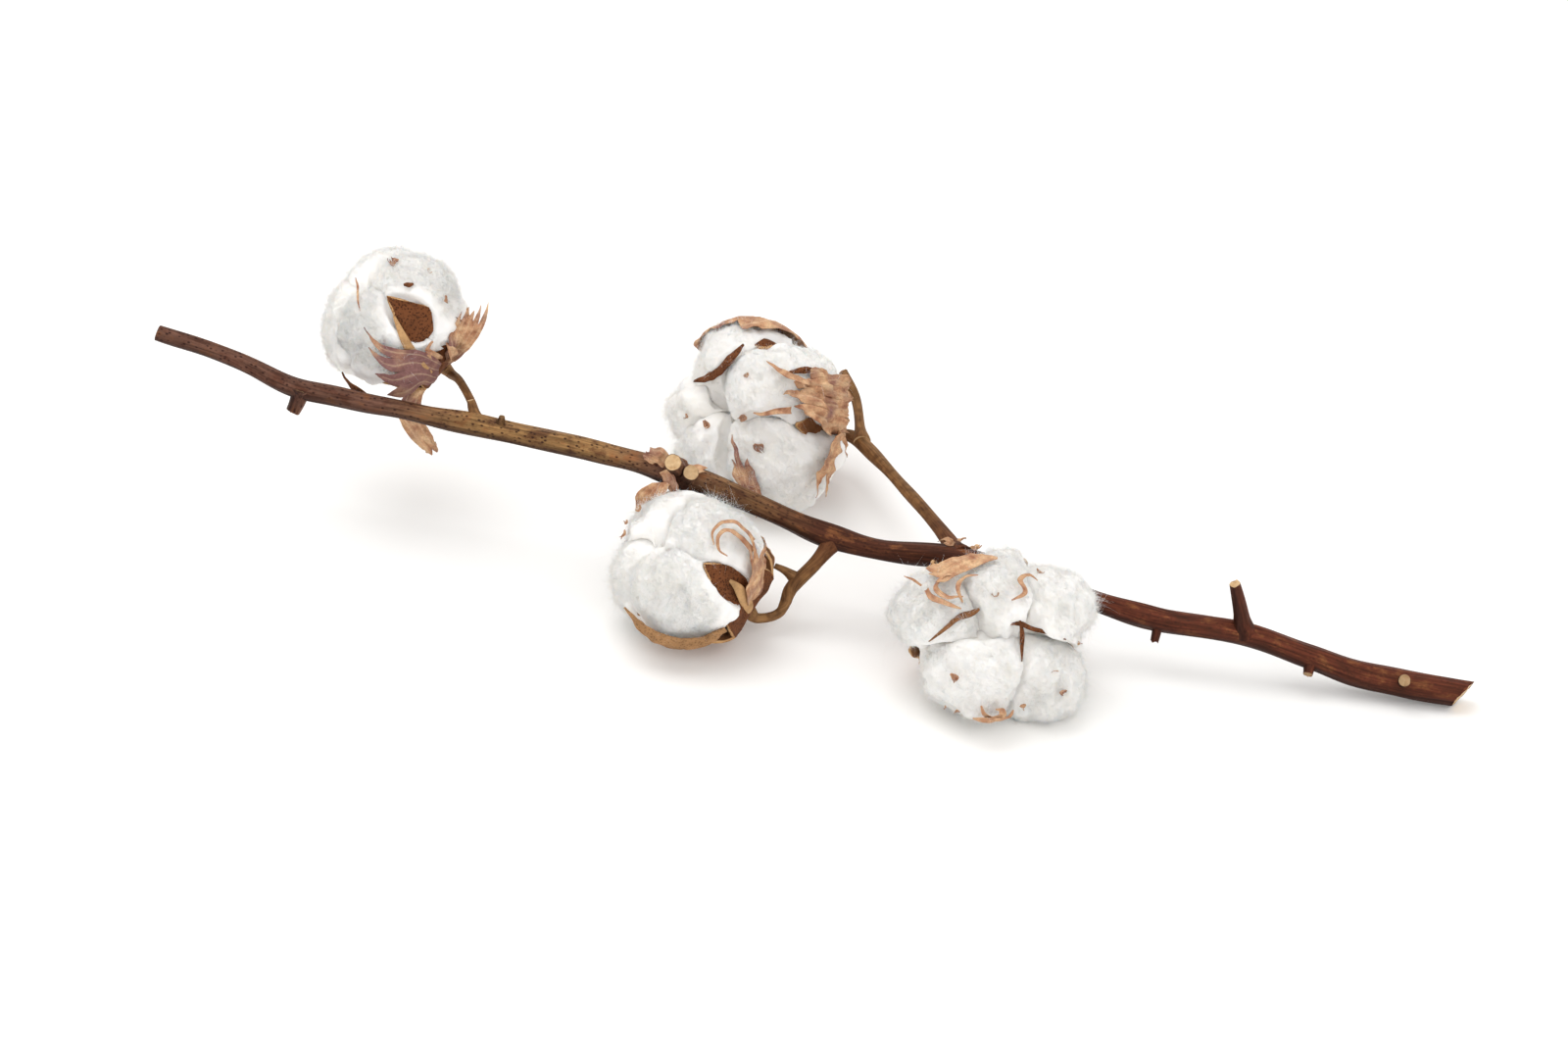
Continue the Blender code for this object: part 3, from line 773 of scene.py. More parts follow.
def stem_bark(settings):
    """Dry cotton bark, weathered after cutting: satin, reddish brown, striated along the stem and greener
    towards the thin end, with painted shade that darkens its lower side. A clean cut shows pale wood with
    growth grain. In millimetres of `grain`, the streaks are 22 long and 0.9 wide and the patches 8 long and
    4.5 wide. The lenticels are 2 long and 1.3 wide, coarser than real ones so that they show."""
    material = new_material("Cotton_stem_bark", {"Roughness": 0.6, "Specular IOR Level": 0.1})
    grain = add_node(material, "ShaderNodeAttribute", output="Vector", attribute_name="grain")
    cut = add_node(material, "ShaderNodeAttribute", output="Fac", attribute_name="cut")
    age = add_node(material, "ShaderNodeAttribute", output="Fac", attribute_name="age")
    drawn_out = add_node(material, "ShaderNodeMapping", {"Vector": grain, "Scale": (0.045, 1.1, 1.1)})
    streaky = {"Vector": drawn_out, "Scale": 1.0, "Detail": 5.0, "Roughness": 0.65}
    streak = add_node(material, "ShaderNodeTexNoise", streaky)
    broad = add_node(material, "ShaderNodeMapping", {"Vector": grain, "Scale": (0.12, 0.22, 0.22)})
    patchy = {"Vector": broad, "Scale": 1.0, "Detail": 6.0, "Roughness": 0.65}
    patch = add_node(material, "ShaderNodeTexNoise", patchy)
    spotted = add_node(material, "ShaderNodeMapping", {"Vector": grain, "Scale": (0.5, 0.75, 0.75)})
    pores = add_node(material, "ShaderNodeTexVoronoi", {"Vector": spotted, "Scale": 1.0, "Randomness": 1.0})
    # Place on the stem's own circle, largest on its lower side: it places the painted shade
    painted_shade_side = add_node(material, "ShaderNodeSeparateXYZ", {0: grain}, output="Z")
    stops = [
        (0.0, settings.young),
        (1.0, settings.mahogany),
        (0.17, settings.young),
        (0.24, settings.olive),
        (0.33, settings.olive),
        (0.38, settings.young),
        (0.43, settings.olive_dark),
        (0.5, settings.chocolate),
        (0.6, settings.chocolate),
        (0.68, settings.mahogany),
    ]
    bark = add_node(material, "ShaderNodeValToRGB", {0: age}, stops)
    # Each layer: what drives it, where it begins and where it is full, how much it covers, its colour.
    for driver, begins, full, cover, colour in (
        (patch, 0.48, 0.62, 0.75, settings.chocolate),
        (patch, 0.46, 0.34, 0.7, settings.tawny),
        # Painted shade: the lower side of the stem is darkened, standing in for the shade under it
        (painted_shade_side, -1.3, 1.6, 0.8, settings.painted_underside_shade),
    ):
        share = add_node(material, "ShaderNodeMapRange", {"Value": driver, 1: begins, 2: full, 4: cover})
        bark = add_node(material, "ShaderNodeMix", {0: share, 6: bark, 7: linear(colour)}, **COLOUR_MIX)
    lines = add_node(material, "ShaderNodeMapRange", {"Value": streak, 1: 0.35, 2: 0.68, 3: 0.5, 4: 1.5})
    bark = add_node(material, "ShaderNodeMix", {0: 1.0, 6: bark, 7: lines}, **SHADING)
    speck = add_node(material, "ShaderNodeMapRange", {"Value": pores, 1: 0.16, 2: 0.34, 3: 0.9, 4: 0.0})
    fade = add_node(material, "ShaderNodeMapRange", {"Value": age, 1: 0.4, 2: 0.6, 3: 1.0, 4: 0.4})
    speck = add_node(material, "ShaderNodeMath", {0: speck, 1: fade}, operation="MULTIPLY")
    dotted = {0: speck, 6: bark, 7: linear(settings.lenticel)}
    bark = add_node(material, "ShaderNodeMix", dotted, **COLOUR_MIX)
    ends = {0: streak, 6: linear(settings.cut_wood), 7: linear(settings.cut_grain)}
    wood = add_node(material, "ShaderNodeMix", ends, **COLOUR_MIX)
    colour = add_node(material, "ShaderNodeMix", {0: cut, 6: bark, 7: wood}, **COLOUR_MIX)
    rough = add_node(material, "ShaderNodeMapRange", {"Value": streak, 1: 0.3, 2: 0.7, 3: 0.62, 4: 0.42})
    bump = add_node(material, "ShaderNodeBump", {"Height": streak, "Strength": 0.6, "Distance": 0.35 * MM})
    return feed_shader(material, {"Base Color": colour, "Roughness": rough, "Normal": bump})


def twig_bark(settings):
    """Bark of a one-season fruiting branch: thinner and smoother than the stem's, olive to tan and redder
    towards the stem. In millimetres of `grain`, its fine lines are 12 long and 0.6 wide, and its patches
    3 across."""
    material = new_material("Cotton_twig_bark", {"Roughness": 0.6, "Specular IOR Level": 0.1})
    grain = add_node(material, "ShaderNodeAttribute", output="Vector", attribute_name="grain")
    cut = add_node(material, "ShaderNodeAttribute", output="Fac", attribute_name="cut")
    age = add_node(material, "ShaderNodeAttribute", output="Fac", attribute_name="age")
    drawn_out = add_node(material, "ShaderNodeMapping", {"Vector": grain, "Scale": (0.08, 1.6, 1.6)})
    streaky = {"Vector": drawn_out, "Scale": 1.0, "Detail": 5.0, "Roughness": 0.6}
    streak = add_node(material, "ShaderNodeTexNoise", streaky)
    patch = add_node(material, "ShaderNodeTexNoise", {"Vector": grain, "Scale": 0.3, "Detail": 5.0})
    stops = [(0.0, settings.twig_foot), (1.0, settings.twig_tip), (0.35, settings.twig_middle)]
    bark = add_node(material, "ShaderNodeValToRGB", {0: age}, stops)
    dark = add_node(material, "ShaderNodeMapRange", {"Value": patch, 1: 0.45, 2: 0.65, 3: 0.0, 4: 0.5})
    patched = {0: dark, 6: bark, 7: linear(settings.twig_patch)}
    bark = add_node(material, "ShaderNodeMix", patched, **COLOUR_MIX)
    lines = add_node(material, "ShaderNodeMapRange", {"Value": streak, 1: 0.35, 2: 0.7, 3: 0.6, 4: 1.4})
    bark = add_node(material, "ShaderNodeMix", {0: 1.0, 6: bark, 7: lines}, **SHADING)
    ends = {0: streak, 6: linear(settings.cut_wood), 7: linear(settings.cut_grain)}
    wood = add_node(material, "ShaderNodeMix", ends, **COLOUR_MIX)
    colour = add_node(material, "ShaderNodeMix", {0: cut, 6: bark, 7: wood}, **COLOUR_MIX)
    bump = add_node(material, "ShaderNodeBump", {"Height": streak, "Strength": 0.5, "Distance": 0.25 * MM})
    return feed_shader(material, {"Base Color": colour, "Normal": bump})


def bur_wall(name, ground, gland_colour, dark_tone_and_shade):
    """Dry fruit wall of a cotton boll: leathery, matte, pitted with dark oil glands about 0.5 mm across.
    Where the attribute `shade` says, the wall goes dark chocolate: on the dark valves this is partly their
    own darker tone and partly painted shade, on the partitions their own dark tone."""
    material = new_material(name, {"Roughness": 0.75, "Specular IOR Level": 0.1})
    where = add_node(material, "ShaderNodeTexCoord", output="Object")
    glands = add_node(material, "ShaderNodeTexVoronoi", {"Vector": where, "Scale": 1 / (0.85 * MM)})
    blotchy = {"Vector": where, "Scale": 1 / (5 * MM), "Detail": 5.0}
    blotch = add_node(material, "ShaderNodeTexNoise", blotchy)
    shade = add_node(material, "ShaderNodeAttribute", output="Fac", attribute_name="shade")
    # Dark valves: partly their own darker tone, partly painted shade
    wall = {0: shade, 6: linear(ground), 7: linear(dark_tone_and_shade)}
    colour = add_node(material, "ShaderNodeMix", wall, **COLOUR_MIX)
    stain = add_node(material, "ShaderNodeMapRange", {"Value": blotch, 1: 0.45, 2: 0.75, 3: 0.0, 4: 0.45})
    dot = add_node(material, "ShaderNodeMapRange", {"Value": glands, 1: 0.22, 2: 0.5, 3: 0.85, 4: 0.0})
    strength = add_node(material, "ShaderNodeMapRange", {"Value": shade, 1: 0.0, 2: 1.0, 3: 0.15, 4: 1.0})
    dot = add_node(material, "ShaderNodeMath", {0: dot, 1: strength}, operation="MULTIPLY")
    for share in (stain, dot):
        darker = {0: share, 6: colour, 7: linear(gland_colour)}
        colour = add_node(material, "ShaderNodeMix", darker, **COLOUR_MIX)
    bump = add_node(material, "ShaderNodeBump", {"Height": glands, "Strength": 0.5, "Distance": 0.2 * MM})
    return feed_shader(material, {"Base Color": colour, "Normal": bump})


def dry_bract(settings):
    """Dried bract: papery leaf, matte, tan between paler veins, mottled every few millimetres, and flushed
    purple brown where the attribute `blush` says."""
    material = new_material("Cotton_dry_bract", {"Roughness": 0.8, "Specular IOR Level": 0.1})
    where = add_node(material, "ShaderNodeTexCoord", output="Object")
    vein = add_node(material, "ShaderNodeAttribute", output="Fac", attribute_name="vein")
    blush = add_node(material, "ShaderNodeAttribute", output="Fac", attribute_name="blush")
    mottled = {"Vector": where, "Scale": 1 / (3.5 * MM), "Detail": 5.0}
    mottle = add_node(material, "ShaderNodeTexNoise", mottled)
    grained = {"Vector": where, "Scale": 1 / (0.7 * MM), "Detail": 3.0}
    fine = add_node(material, "ShaderNodeTexNoise", grained)
    stops = [(0.27, settings.shadow), (0.66, settings.pale), (0.45, settings.tan)]
    tan = add_node(material, "ShaderNodeValToRGB", {0: mottle}, stops)
    flush = {0: mottle, 6: linear(settings.purple_dark), 7: linear(settings.purple)}
    purple = add_node(material, "ShaderNodeMix", flush, **COLOUR_MIX)
    colour = add_node(material, "ShaderNodeMix", {0: blush, 6: tan, 7: purple}, **COLOUR_MIX)
    veined = add_node(material, "ShaderNodeMath", {0: vein, 1: 0.4}, operation="MULTIPLY")
    paler = {0: veined, 6: colour, 7: linear(settings.vein)}
    colour = add_node(material, "ShaderNodeMix", paler, **COLOUR_MIX)
    lines = add_node(material, "ShaderNodeMapRange", {"Value": fine, 1: 0.3, 2: 0.7, 3: 0.8, 4: 1.15})
    colour = add_node(material, "ShaderNodeMix", {0: 1.0, 6: colour, 7: lines}, **SHADING)
    bump = add_node(material, "ShaderNodeBump", {"Height": fine, "Strength": 0.4, "Distance": 0.15 * MM})
    return feed_shader(material, {"Base Color": colour, "Normal": bump})


def raw_lint(settings):
    """Raw cotton as it bursts from the boll: matte felted fibre, warm white, a little creamy in patches,
    with a fine nap. Light travels a few millimetres through it."""
    sockets = {
        "Roughness": 1.0,
        "Specular IOR Level": 0.05,
        "Subsurface Weight": 0.6,
        "Subsurface Radius": (1.0, 0.95, 0.88),
        "Subsurface Scale": 4 * MM,
    }
    material = new_material("Raw_cotton_lint", sockets)
    where = add_node(material, "ShaderNodeTexCoord", output="Object")
    patchy = {"Vector": where, "Scale": 1 / (14 * MM), "Detail": 4.0}
    patch = add_node(material, "ShaderNodeTexNoise", patchy)
    felted = {"Vector": where, "Scale": 1 / (2.2 * MM), "Detail": 8.0, "Roughness": 0.75, "Distortion": 1.6}
    nap = add_node(material, "ShaderNodeTexNoise", felted)
    cream = add_node(material, "ShaderNodeMapRange", {"Value": patch, 1: 0.45, 2: 0.75, 3: 0.0, 4: 0.6})
    shades = {0: cream, 6: linear(settings.white), 7: linear(settings.cream)}
    colour = add_node(material, "ShaderNodeMix", shades, **COLOUR_MIX)
    bump = add_node(material, "ShaderNodeBump", {"Height": nap, "Strength": 0.45, "Distance": 0.8 * MM})
    return feed_shader(material, {"Base Color": colour, "Normal": bump})


def loose_fibre(settings):
    """Single cotton hairs, which stand clear of the lint: white, matte, and they let light through."""
    sockets = {
        "Base Color": linear(settings.white),
        "Roughness": 0.9,
        "Specular IOR Level": 0.1,
        "Subsurface Weight": 0.5,
        "Subsurface Scale": 2 * MM,
    }
    return new_material("Loose_cotton_fibre", sockets)


# ---------------------------------------------------------------- settings


def colour_property(name, description, code):
    """Colour kept as sRGB hex, which `linear` turns into what a shader takes."""
    return bpy.props.StringProperty(name=name, description=description, default=code, maxlen=7)


class CottonBarkSettings(bpy.types.PropertyGroup):
    """Bark of the stem and of its side branches."""

    young: colour_property("Young bark", "Thin end of the stem", "#654639")
    olive: colour_property("Olive bark", "Where the bark is still green", "#8f6c44")
    olive_dark: colour_property("Shaded olive bark", "Beyond the middle node", "#7a5a3c")
    chocolate: colour_property("Chocolate bark", "Middle of the stem and its patches", "#4a281a")
    mahogany: colour_property("Mahogany bark", "Thick end of the stem", "#5b2d1e")
    tawny: colour_property("Tawny bark", "Warm patches", "#80502f")
    # Painted shade: dark colour for the lower side of the stem bark, standing in for the shade that falls
    # there
    painted_underside_shade: colour_property("Underside", "Bark that faced away from the sun", "#2b1610")
    lenticel: colour_property("Lenticels", "Dark pores of the bark", "#2c1510")
    cut_wood: colour_property("Cut wood", "Clean cut ends", "#e3c9a0")
    cut_grain: colour_property("Cut grain", "Grain of the cut ends", "#b48a5c")
    twig_foot: colour_property("Twig foot", "Side branch near the stem", "#5e3624")
    twig_middle: colour_property("Twig middle", "Side branch half way", "#7c5836")
    twig_tip: colour_property("Twig tip", "Side branch under the boll", "#936e48")
    twig_patch: colour_property("Twig patches", "Dark patches of the side branches", "#432619")


class CottonBurSettings(bpy.types.PropertyGroup):
    """Dry fruit walls."""

    outside: colour_property("Outside", "Outer face of a valve", "#9c6c48")
    # Dark valve colour: partly the valves' own darker tone, partly painted shade; it also colours dark
    # partitions and the rim's glands
    dark: colour_property("Weathered valve", "Valve gone dark", "#74462a")
    glands: colour_property("Glands", "Oil glands of the wall", "#2f1a10")
    inside: colour_property("Inside", "Inner face of a valve", "#7a5234")
    rim: colour_property("Rim", "Edge of a valve", "#c39a6c")


class CottonBractSettings(bpy.types.PropertyGroup):
    """Dry bracts, scales and scraps."""

    tan: colour_property("Tan", "Main colour", "#c09270")
    pale: colour_property("Pale", "Thin, bleached parts", "#d8b48d")
    shadow: colour_property("Brown", "Stained parts", "#96644a")
    purple: colour_property("Purple flush", "Flushed bracts", "#96706b")
    purple_dark: colour_property("Dark flush", "Darker parts of flushed bracts", "#6a4543")
    vein: colour_property("Vein", "Veins", "#e0c3a2")


class CottonLintSettings(bpy.types.PropertyGroup):
    """Lint and its loose fibres."""

    white: colour_property("White", "Clean lint", "#fdfbf7")
    cream: colour_property("Cream", "Lint in the folds", "#f7f2ea")
    fibres: bpy.props.IntProperty(name="Fibres", description="Fibres on each lock", default=7200, min=0)
    standing: bpy.props.FloatProperty(
        name="Standing share",
        description="Share of the fibres that stand out",
        default=0.45,
        subtype="FACTOR",
    )
    length: bpy.props.FloatProperty(name="Fibre length", description="Length in mm", default=3.2, min=0.5)
    radius: bpy.props.FloatProperty(
        name="Fibre radius",
        description="Radius in mm",
        default=0.045,
        min=0.01,
    )


class CottonStageSettings(bpy.types.PropertyGroup):
    """Floor, light and camera."""

    floor: colour_property("Floor", "Plain pale floor", "#fbfbfa")
    distance: bpy.props.FloatProperty(
        name="Distance",
        description="Camera to branch",
        default=1.22,
        unit="LENGTH",
    )
    elevation: bpy.props.FloatProperty(
        name="Elevation",
        description="Camera above the horizon",
        default=math.radians(32),
        subtype="ANGLE",
    )
    roll: bpy.props.FloatProperty(
        name="Roll",
        description="Tilt of the camera",
        default=math.radians(8),
        subtype="ANGLE",
    )
    lens: bpy.props.FloatProperty(name="Lens", description="Focal length in mm", default=85.0)


# ---------------------------------------------------------------- stem and branches


def bark_relief(unrolled, coarse, fine, seed):
    """Small swellings and long ridges of bark: ripples stretched along the stem."""
    swells = ripples(unrolled * (BARK_SWELLS[0], 1, 1), BARK_SWELLS[1], seed)
    ridges = ripples(unrolled * (BARK_RIDGES[0], 1, 1), BARK_RIDGES[1], seed + 1)
    return coarse * swells + fine * ridges


def stub_grid(foot, tip, foot_radius, tip_radius, pale, seed):
    """Cut stub: a tube that flares at its foot, with a rough cut across its tip."""
    rows = np.linspace(0, 1, 22)[:, None]
    foot, tip = np.array(foot, float), np.array(tip, float)
    path = foot + (tip - foot) * rows
    flare = 1 + 0.5 * np.exp(-((rows[:, 0] / 0.22) ** 2))
    radii = (foot_radius + (tip_radius - foot_radius) * rows[:, 0]) * flare
    path[:, 0] += 0.3 * np.sin(rows[:, 0] * math.pi)
    points, unrolled, inside = tube(path, radii, 28, (0.9, 0.3, 0.2))
    relief = bark_relief(unrolled + foot, 0.1, 0.08, seed)
    points += normals_of(points, True) * (relief * (1 - inside))[..., None]
    points += unit(tip - foot) * (0.25 * ripples(points, 1.6, seed + 5) * inside)[..., None]
    return points, unrolled, inside * pale


def make_stem():
    """The main stem: a round tube along its route, with bark relief, joined by its stubs."""
    rows = smooth_path(STEM_ROUTE, 0.9)
    path, radii = rows[:, :3], rows[:, 3]
    sides = 56
    points, unrolled, inside = tube(path, radii, sides, (0, 0, 1), THICK_CUT)
    relief = bark_relief(unrolled, 0.16, 0.1, 11)
    points += normals_of(points, True) * (relief * (1 - inside))[..., None]
    low, high = STEM_ROUTE[0][0], STEM_ROUTE[-1][0]
    age = (points[..., 0] - low) / (high - low)
    grids = [(points, True, {"grain": unrolled, "cut": inside, "age": age})]
    for number, (foot, tip, foot_radius, tip_radius, pale) in enumerate(STEM_STUBS.values()):
        points, unrolled, inside = stub_grid(foot, tip, foot_radius, tip_radius, pale, 40 + number)
        age = (points[..., 0] - low) / (high - low)
        grids.append((points, True, {"grain": unrolled + (foot[0], 0, 0), "cut": inside, "age": age}))
    return joined_grids("main_stem_bark", grids)


def collar_rows(boll):
    """Rows that bring a stalk up the boll's axis and swell it under the bur."""
    own = BollFrame(boll)
    return [(*(own.centre - own.axis * (boll["depth"] + drop)), radius) for drop, radius in COLLAR_DROPS]


def make_branch(name, seed):
    """A side branch: a tube along its route, flared where it leaves the stem, with its cut fork."""
    boll, rows = BRANCHES[name]
    grids = []
    routes = [rows + collar_rows(BOLLS[boll])] + ([FORKS[name]] if name in FORKS else [])
    for number, route in enumerate(routes):
        line = smooth_path(route, 0.7)
        run = np.concatenate([[0], np.cumsum(np.linalg.norm(np.diff(line[:, :3], axis=0), axis=1))])
        radii = line[:, 3] * (1 + 0.45 * np.exp(-((run / 4.5) ** 2)))
        up = (0.25, 0.1, 1) if number == 0 else (1, 0.2, 0.1)
        points, unrolled, inside = tube(line[:, :3], radii, 36, up)
        relief = bark_relief(unrolled, 0.1, 0.07, seed + number)
        points += normals_of(points, True) * (relief * (1 - inside))[..., None]
        age = np.clip(unrolled[..., 0] / run[-1], 0, 1) if number == 0 else np.full(points.shape[:2], 0.6)
        grids.append((points, True, {"grain": unrolled, "cut": inside * number, "age": age}))
    return joined_grids(name + "_bark", grids)


# ---------------------------------------------------------------- burs


def meeting(valve, following):
    """Azimuth of the corner where the flat sides of two neighbouring valves meet."""
    gap = math.radians(following[0] - valve[0])
    near, far = valve[2], following[2]
    return valve[0] + math.degrees(math.atan2(far - near * math.cos(gap), near * math.sin(gap)))


def valve_edges(valves):
    """Azimuths of the corners round the bur, from before the first valve to after the last."""
    edges = [meeting(before, after) for before, after in zip(valves, valves[1:])]
    last = meeting(valves[-1], (valves[0][0] + 360, *valves[0][1:]))
    return [last - 360, *edges, last]


def valve_grid(boll, index, seed):
    """One valve: an ellipse swept up from the bur's base, flat across, that narrows to a point, with its
    margins and tip turned out."""
    own = BollFrame(boll)
    edges = valve_edges(boll["valves"])
    centre, end, radius = boll["valves"][index]
    azimuth = np.linspace(edges[index], edges[index + 1], 33)[None, :]
    half = np.where(azimuth > centre, edges[index + 1] - centre, centre - edges[index])
    off = np.abs(azimuth - centre) / half
    reach = end + (NOTCH_ANGLE - end) * off**1.4 - 6 * np.exp(-((off / 0.12) ** 2))
    v = np.linspace(0, 1, 34)[:, None]
    polar = np.radians(180 + v * (reach - 180))
    radial = radius * np.sin(polar) + 1.6 * v**5 * off**2 + 2.0 * v**8 * (off < 0.2)
    tangential = radial * np.tan(np.radians(azimuth - centre))
    points = own.point(radial, centre, boll["depth"] * np.cos(polar), tangential)
    warp = 0.35 * ripples(points, 9, seed) * np.minimum(1, 3 * v)
    points += normals_of(points, False) * warp[..., None]
    points[..., 2] += held_back(BUR_CLEARANCE - points[..., 2], 0.3)
    # Dark valves get the dark colour: partly their own tone, partly painted shade
    shade = np.full(points.shape[:2], float(index in boll["dark_valves"]))
    return points, False, {"shade": shade}


def make_bur(name, boll, seed):
    """The dry open fruit wall: its valves, joined below their notches."""
    grids = [valve_grid(boll, index, seed) for index in range(len(boll["valves"]))]
    return joined_grids(name + "_wall", grids)


# ---------------------------------------------------------------- lint


def keep_off_valve(points, own, boll, index):
    """Presses points back inside a valve where it lies bare, a pointed oval below its tip: half width
    2 width run^0.7 (1 - run)^0.5, where run goes from 0 at the tip to 1. The valve is the ellipse
    (x / radius)^2 + (z / depth)^2 = 1 in its own middle plane. Beyond SUNK_ANGLE all points are pressed
    back. Also tells which points are by it."""
    azimuth, end, radius = boll["valves"][index]
    span, width = boll["bare"].get(index % len(boll["valves"]), PLAIN_BARE)
    depth = boll["depth"]
    offset = points - own.centre
    out, side = own.outward(azimuth), own.tangent(azimuth)
    x, y, z = np.maximum(offset @ out, 0), offset @ side, offset @ own.axis
    reach = np.sqrt((x / radius) ** 2 + (z / depth) ** 2)
    run = np.clip((np.degrees(np.arctan2(x / radius, z / depth)) - end + 5) / span, 0, 1)
    half_width = 2 * width * run**0.7 * (1 - run) ** 0.5
    sunk = np.clip((np.degrees(np.arctan2(x / radius, z / depth)) - SUNK_ANGLE) / 8, 0, 1)
    covered = np.maximum(np.clip((half_width - np.abs(y)) / 1.6, 0, 1), sunk)
    covered = covered**2 * (3 - 2 * covered)
    away = unit(np.stack([x / radius**2, z / depth**2], -1))
    push = held_back((reach - 1) * radius + 1.6, 0.6) * covered
    moved = points - (push * away[..., 0])[..., None] * out - (push * away[..., 1])[..., None] * own.axis
    beside = (half_width > 0) * (half_width + 3 - np.abs(y) > 0) * (x > 0.5 * radius)
    return moved, beside | (sunk > 0)


def keep_off_tube(points, rows, gap):
    """Pushes points that are inside a tube out of it, away from its middle. Also tells which are by it."""
    distances = np.linalg.norm(points[..., None, :] - rows[:, :3], axis=-1)
    nearest = distances.argmin(-1)
    close = np.take_along_axis(distances, nearest[..., None], -1)[..., 0]
    away = unit(points - rows[nearest, :3])
    moved = points + away * held_back(rows[nearest, 3] + gap - close, 0.5)[..., None]
    return moved, close < rows[nearest, 3] + BALD_MARGIN


def lock_body(boll, index):
    """Middle, axes and half-sizes of a lock. Filling in moves its inner side only: the middle goes towards
    the boll's axis as the half-sizes grow."""
    own = BollFrame(boll)
    azimuth, ring, along, halves = boll["locks"][index]
    inward, sideways = boll["fill"]
    axes = np.stack([own.outward(azimuth), own.tangent(azimuth), own.axis])
    middle = own.point(ring - inward, azimuth, along - SLUMP)
    return middle, axes, np.array(halves) + (inward, sideways, 0.5 * SLUMP)


def lock_grid(boll, index, seed, rows=68, columns=104):
    """A lock of lint: an ellipsoid with puffs and tufts, that keeps to its own side of the seams, inside
    its valves, off the wood and above the surface that the branch lies on."""
    own = BollFrame(boll)
    middle, axes, halves = lock_body(boll, index)
    theta = np.linspace(math.pi, 0, rows)[:, None]
    phi = np.linspace(0, TURN, columns, endpoint=False)[None, :]
    ball = np.stack([np.sin(theta) * np.cos(phi), np.sin(theta) * np.sin(phi), np.cos(theta) + 0 * phi], -1)
    points = middle + (ball * halves) @ axes
    away = ball @ axes
    relief = PUFFS[1] * ripples(points, PUFFS[0], seed)
    relief -= DENTS[1] * np.maximum(ripples(points, DENTS[0], seed + 1) - DENT_ONSET, 0)
    relief += TUFTS[1] * ripples(points, TUFTS[0], seed + 2)
    relief += WOOL[1] * ripples(points, WOOL[0], seed + 3)
    points += away * relief[..., None]

    before = points.copy()
    bald = np.zeros(points.shape[:2], bool)
    seams = boll.get("seams", [(0, 0, valve[0]) for valve in boll["valves"]])
    star = own.centre + seams[0][0] * own.outward(0) + seams[0][1] * own.outward(90)
    along = (points - star) @ own.axis
    apart = np.linalg.norm(points - star - along[..., None] * own.axis, axis=-1)
    dimple = DIMPLE * np.exp(-((apart / DIMPLE_RADIUS) ** 2)) * np.clip(along / DIMPLE_RISE, 0, 1)
    points = points - dimple[..., None] * own.axis
    for valve, facing in ((index - 1, -1), (index, 1)):
        x, y, azimuth = seams[valve]
        start = own.centre + x * own.outward(0) + y * own.outward(90)
        normal = own.tangent(azimuth) * facing
        wave = SEAM_SWING * ripples(points, SEAM_WAVE, valve % len(boll["valves"]))
        past = (points - start) @ normal + facing * wave + 0.1 - boll["overlap"]
        points = points - normal * held_back(past, SEAM_SOFTNESS)[..., None]
        points, near = keep_off_valve(points, own, boll, valve)
        bald |= near
    for route in [STEM_ROUTE] + [rows + collar_rows(BOLLS[home]) for home, rows in BRANCHES.values()]:
        line = smooth_path(route, 1.5)
        line = line[np.linalg.norm(line[:, :3] - own.centre, axis=1) < 50]
        if len(line):
            points, near = keep_off_tube(points, line, 0.5)
            bald |= near
    points[..., 2] += held_back(LINT_CLEARANCE - points[..., 2], 0.4)
    free = np.exp(-np.linalg.norm(points - before, axis=-1) / 0.5) * ~bald
    return points, free


def fibre_mesh(name, points, free, settings, seed):
    """Loose hairs on a lock: thin three-sided spikes that start on random spots of its free surface. Most
    lie down on it and a few stand out: start + length (t lean + t^2 bend)."""
    rng = np.random.default_rng(seed)
    corner, right = points[:-1], np.roll(points, -1, axis=1)[:-1]
    far, up = np.roll(points, -1, axis=1)[1:], points[1:]
    cross = np.cross(far - corner, up - right)
    area = np.linalg.norm(cross, axis=-1) * free[:-1]
    count = settings.fibres
    chosen = rng.choice(area.size, count, p=(area / area.sum()).ravel())
    u, v = rng.uniform(size=(2, count, 1))
    corner, right, far, up, cross = (a.reshape(-1, 3)[chosen] for a in (corner, right, far, up, cross))
    start = (1 - v) * ((1 - u) * corner + u * right) + v * ((1 - u) * up + u * far)
    normal = unit(cross)
    flat = unit(np.cross(normal, rng.normal(size=normal.shape)))
    stand = np.where(rng.uniform(size=(count, 1)) < settings.standing, 1.3, 0.45)
    lean = unit(flat + normal * stand * rng.uniform(0.4, 1.4, (count, 1)))
    bend = rng.normal(size=normal.shape) * 0.4 - normal * stand * 0.5
    length = settings.length * rng.lognormal(-0.1, 0.4, (count, 1, 1))
    t = np.linspace(0, 1, 3)[None, :, None]
    line = start[:, None] - normal[:, None] * 0.25 + length * (t * lean[:, None] + t**2 * bend[:, None])
    line[..., 2] = np.maximum(line[..., 2], 0.1)
    first = unit(np.cross(lean, rng.normal(size=lean.shape)))
    second = np.cross(lean, first)
    angle = np.arange(3) * TURN / 3
    ring = np.cos(angle)[:, None] * first[:, None] + np.sin(angle)[:, None] * second[:, None]
    radii = settings.radius * np.array([1.0, 0.75])[None, :, None, None]
    rings = line[:, :2, None] + ring[:, None] * radii
    spikes = np.concatenate([rings.reshape(count, 6, 3), line[:, 2:]], 1)
    base = np.arange(count)[:, None] * 7
    side = np.arange(3)[None, :]
    following = (side + 1) % 3
    quads = np.stack([base + side, base + following, base + 3 + following, base + 3 + side], -1)
    tips = np.stack([base + 3 + side, base + 3 + following, base + 6 + 0 * side], -1)
    roots = base + [2, 1, 0]
    faces = [quads.reshape(-1, 4), tips.reshape(-1, 3), roots]
    return mesh_from(name, spikes.reshape(-1, 3), faces, None, {})


# ---------------------------------------------------------------- bracts


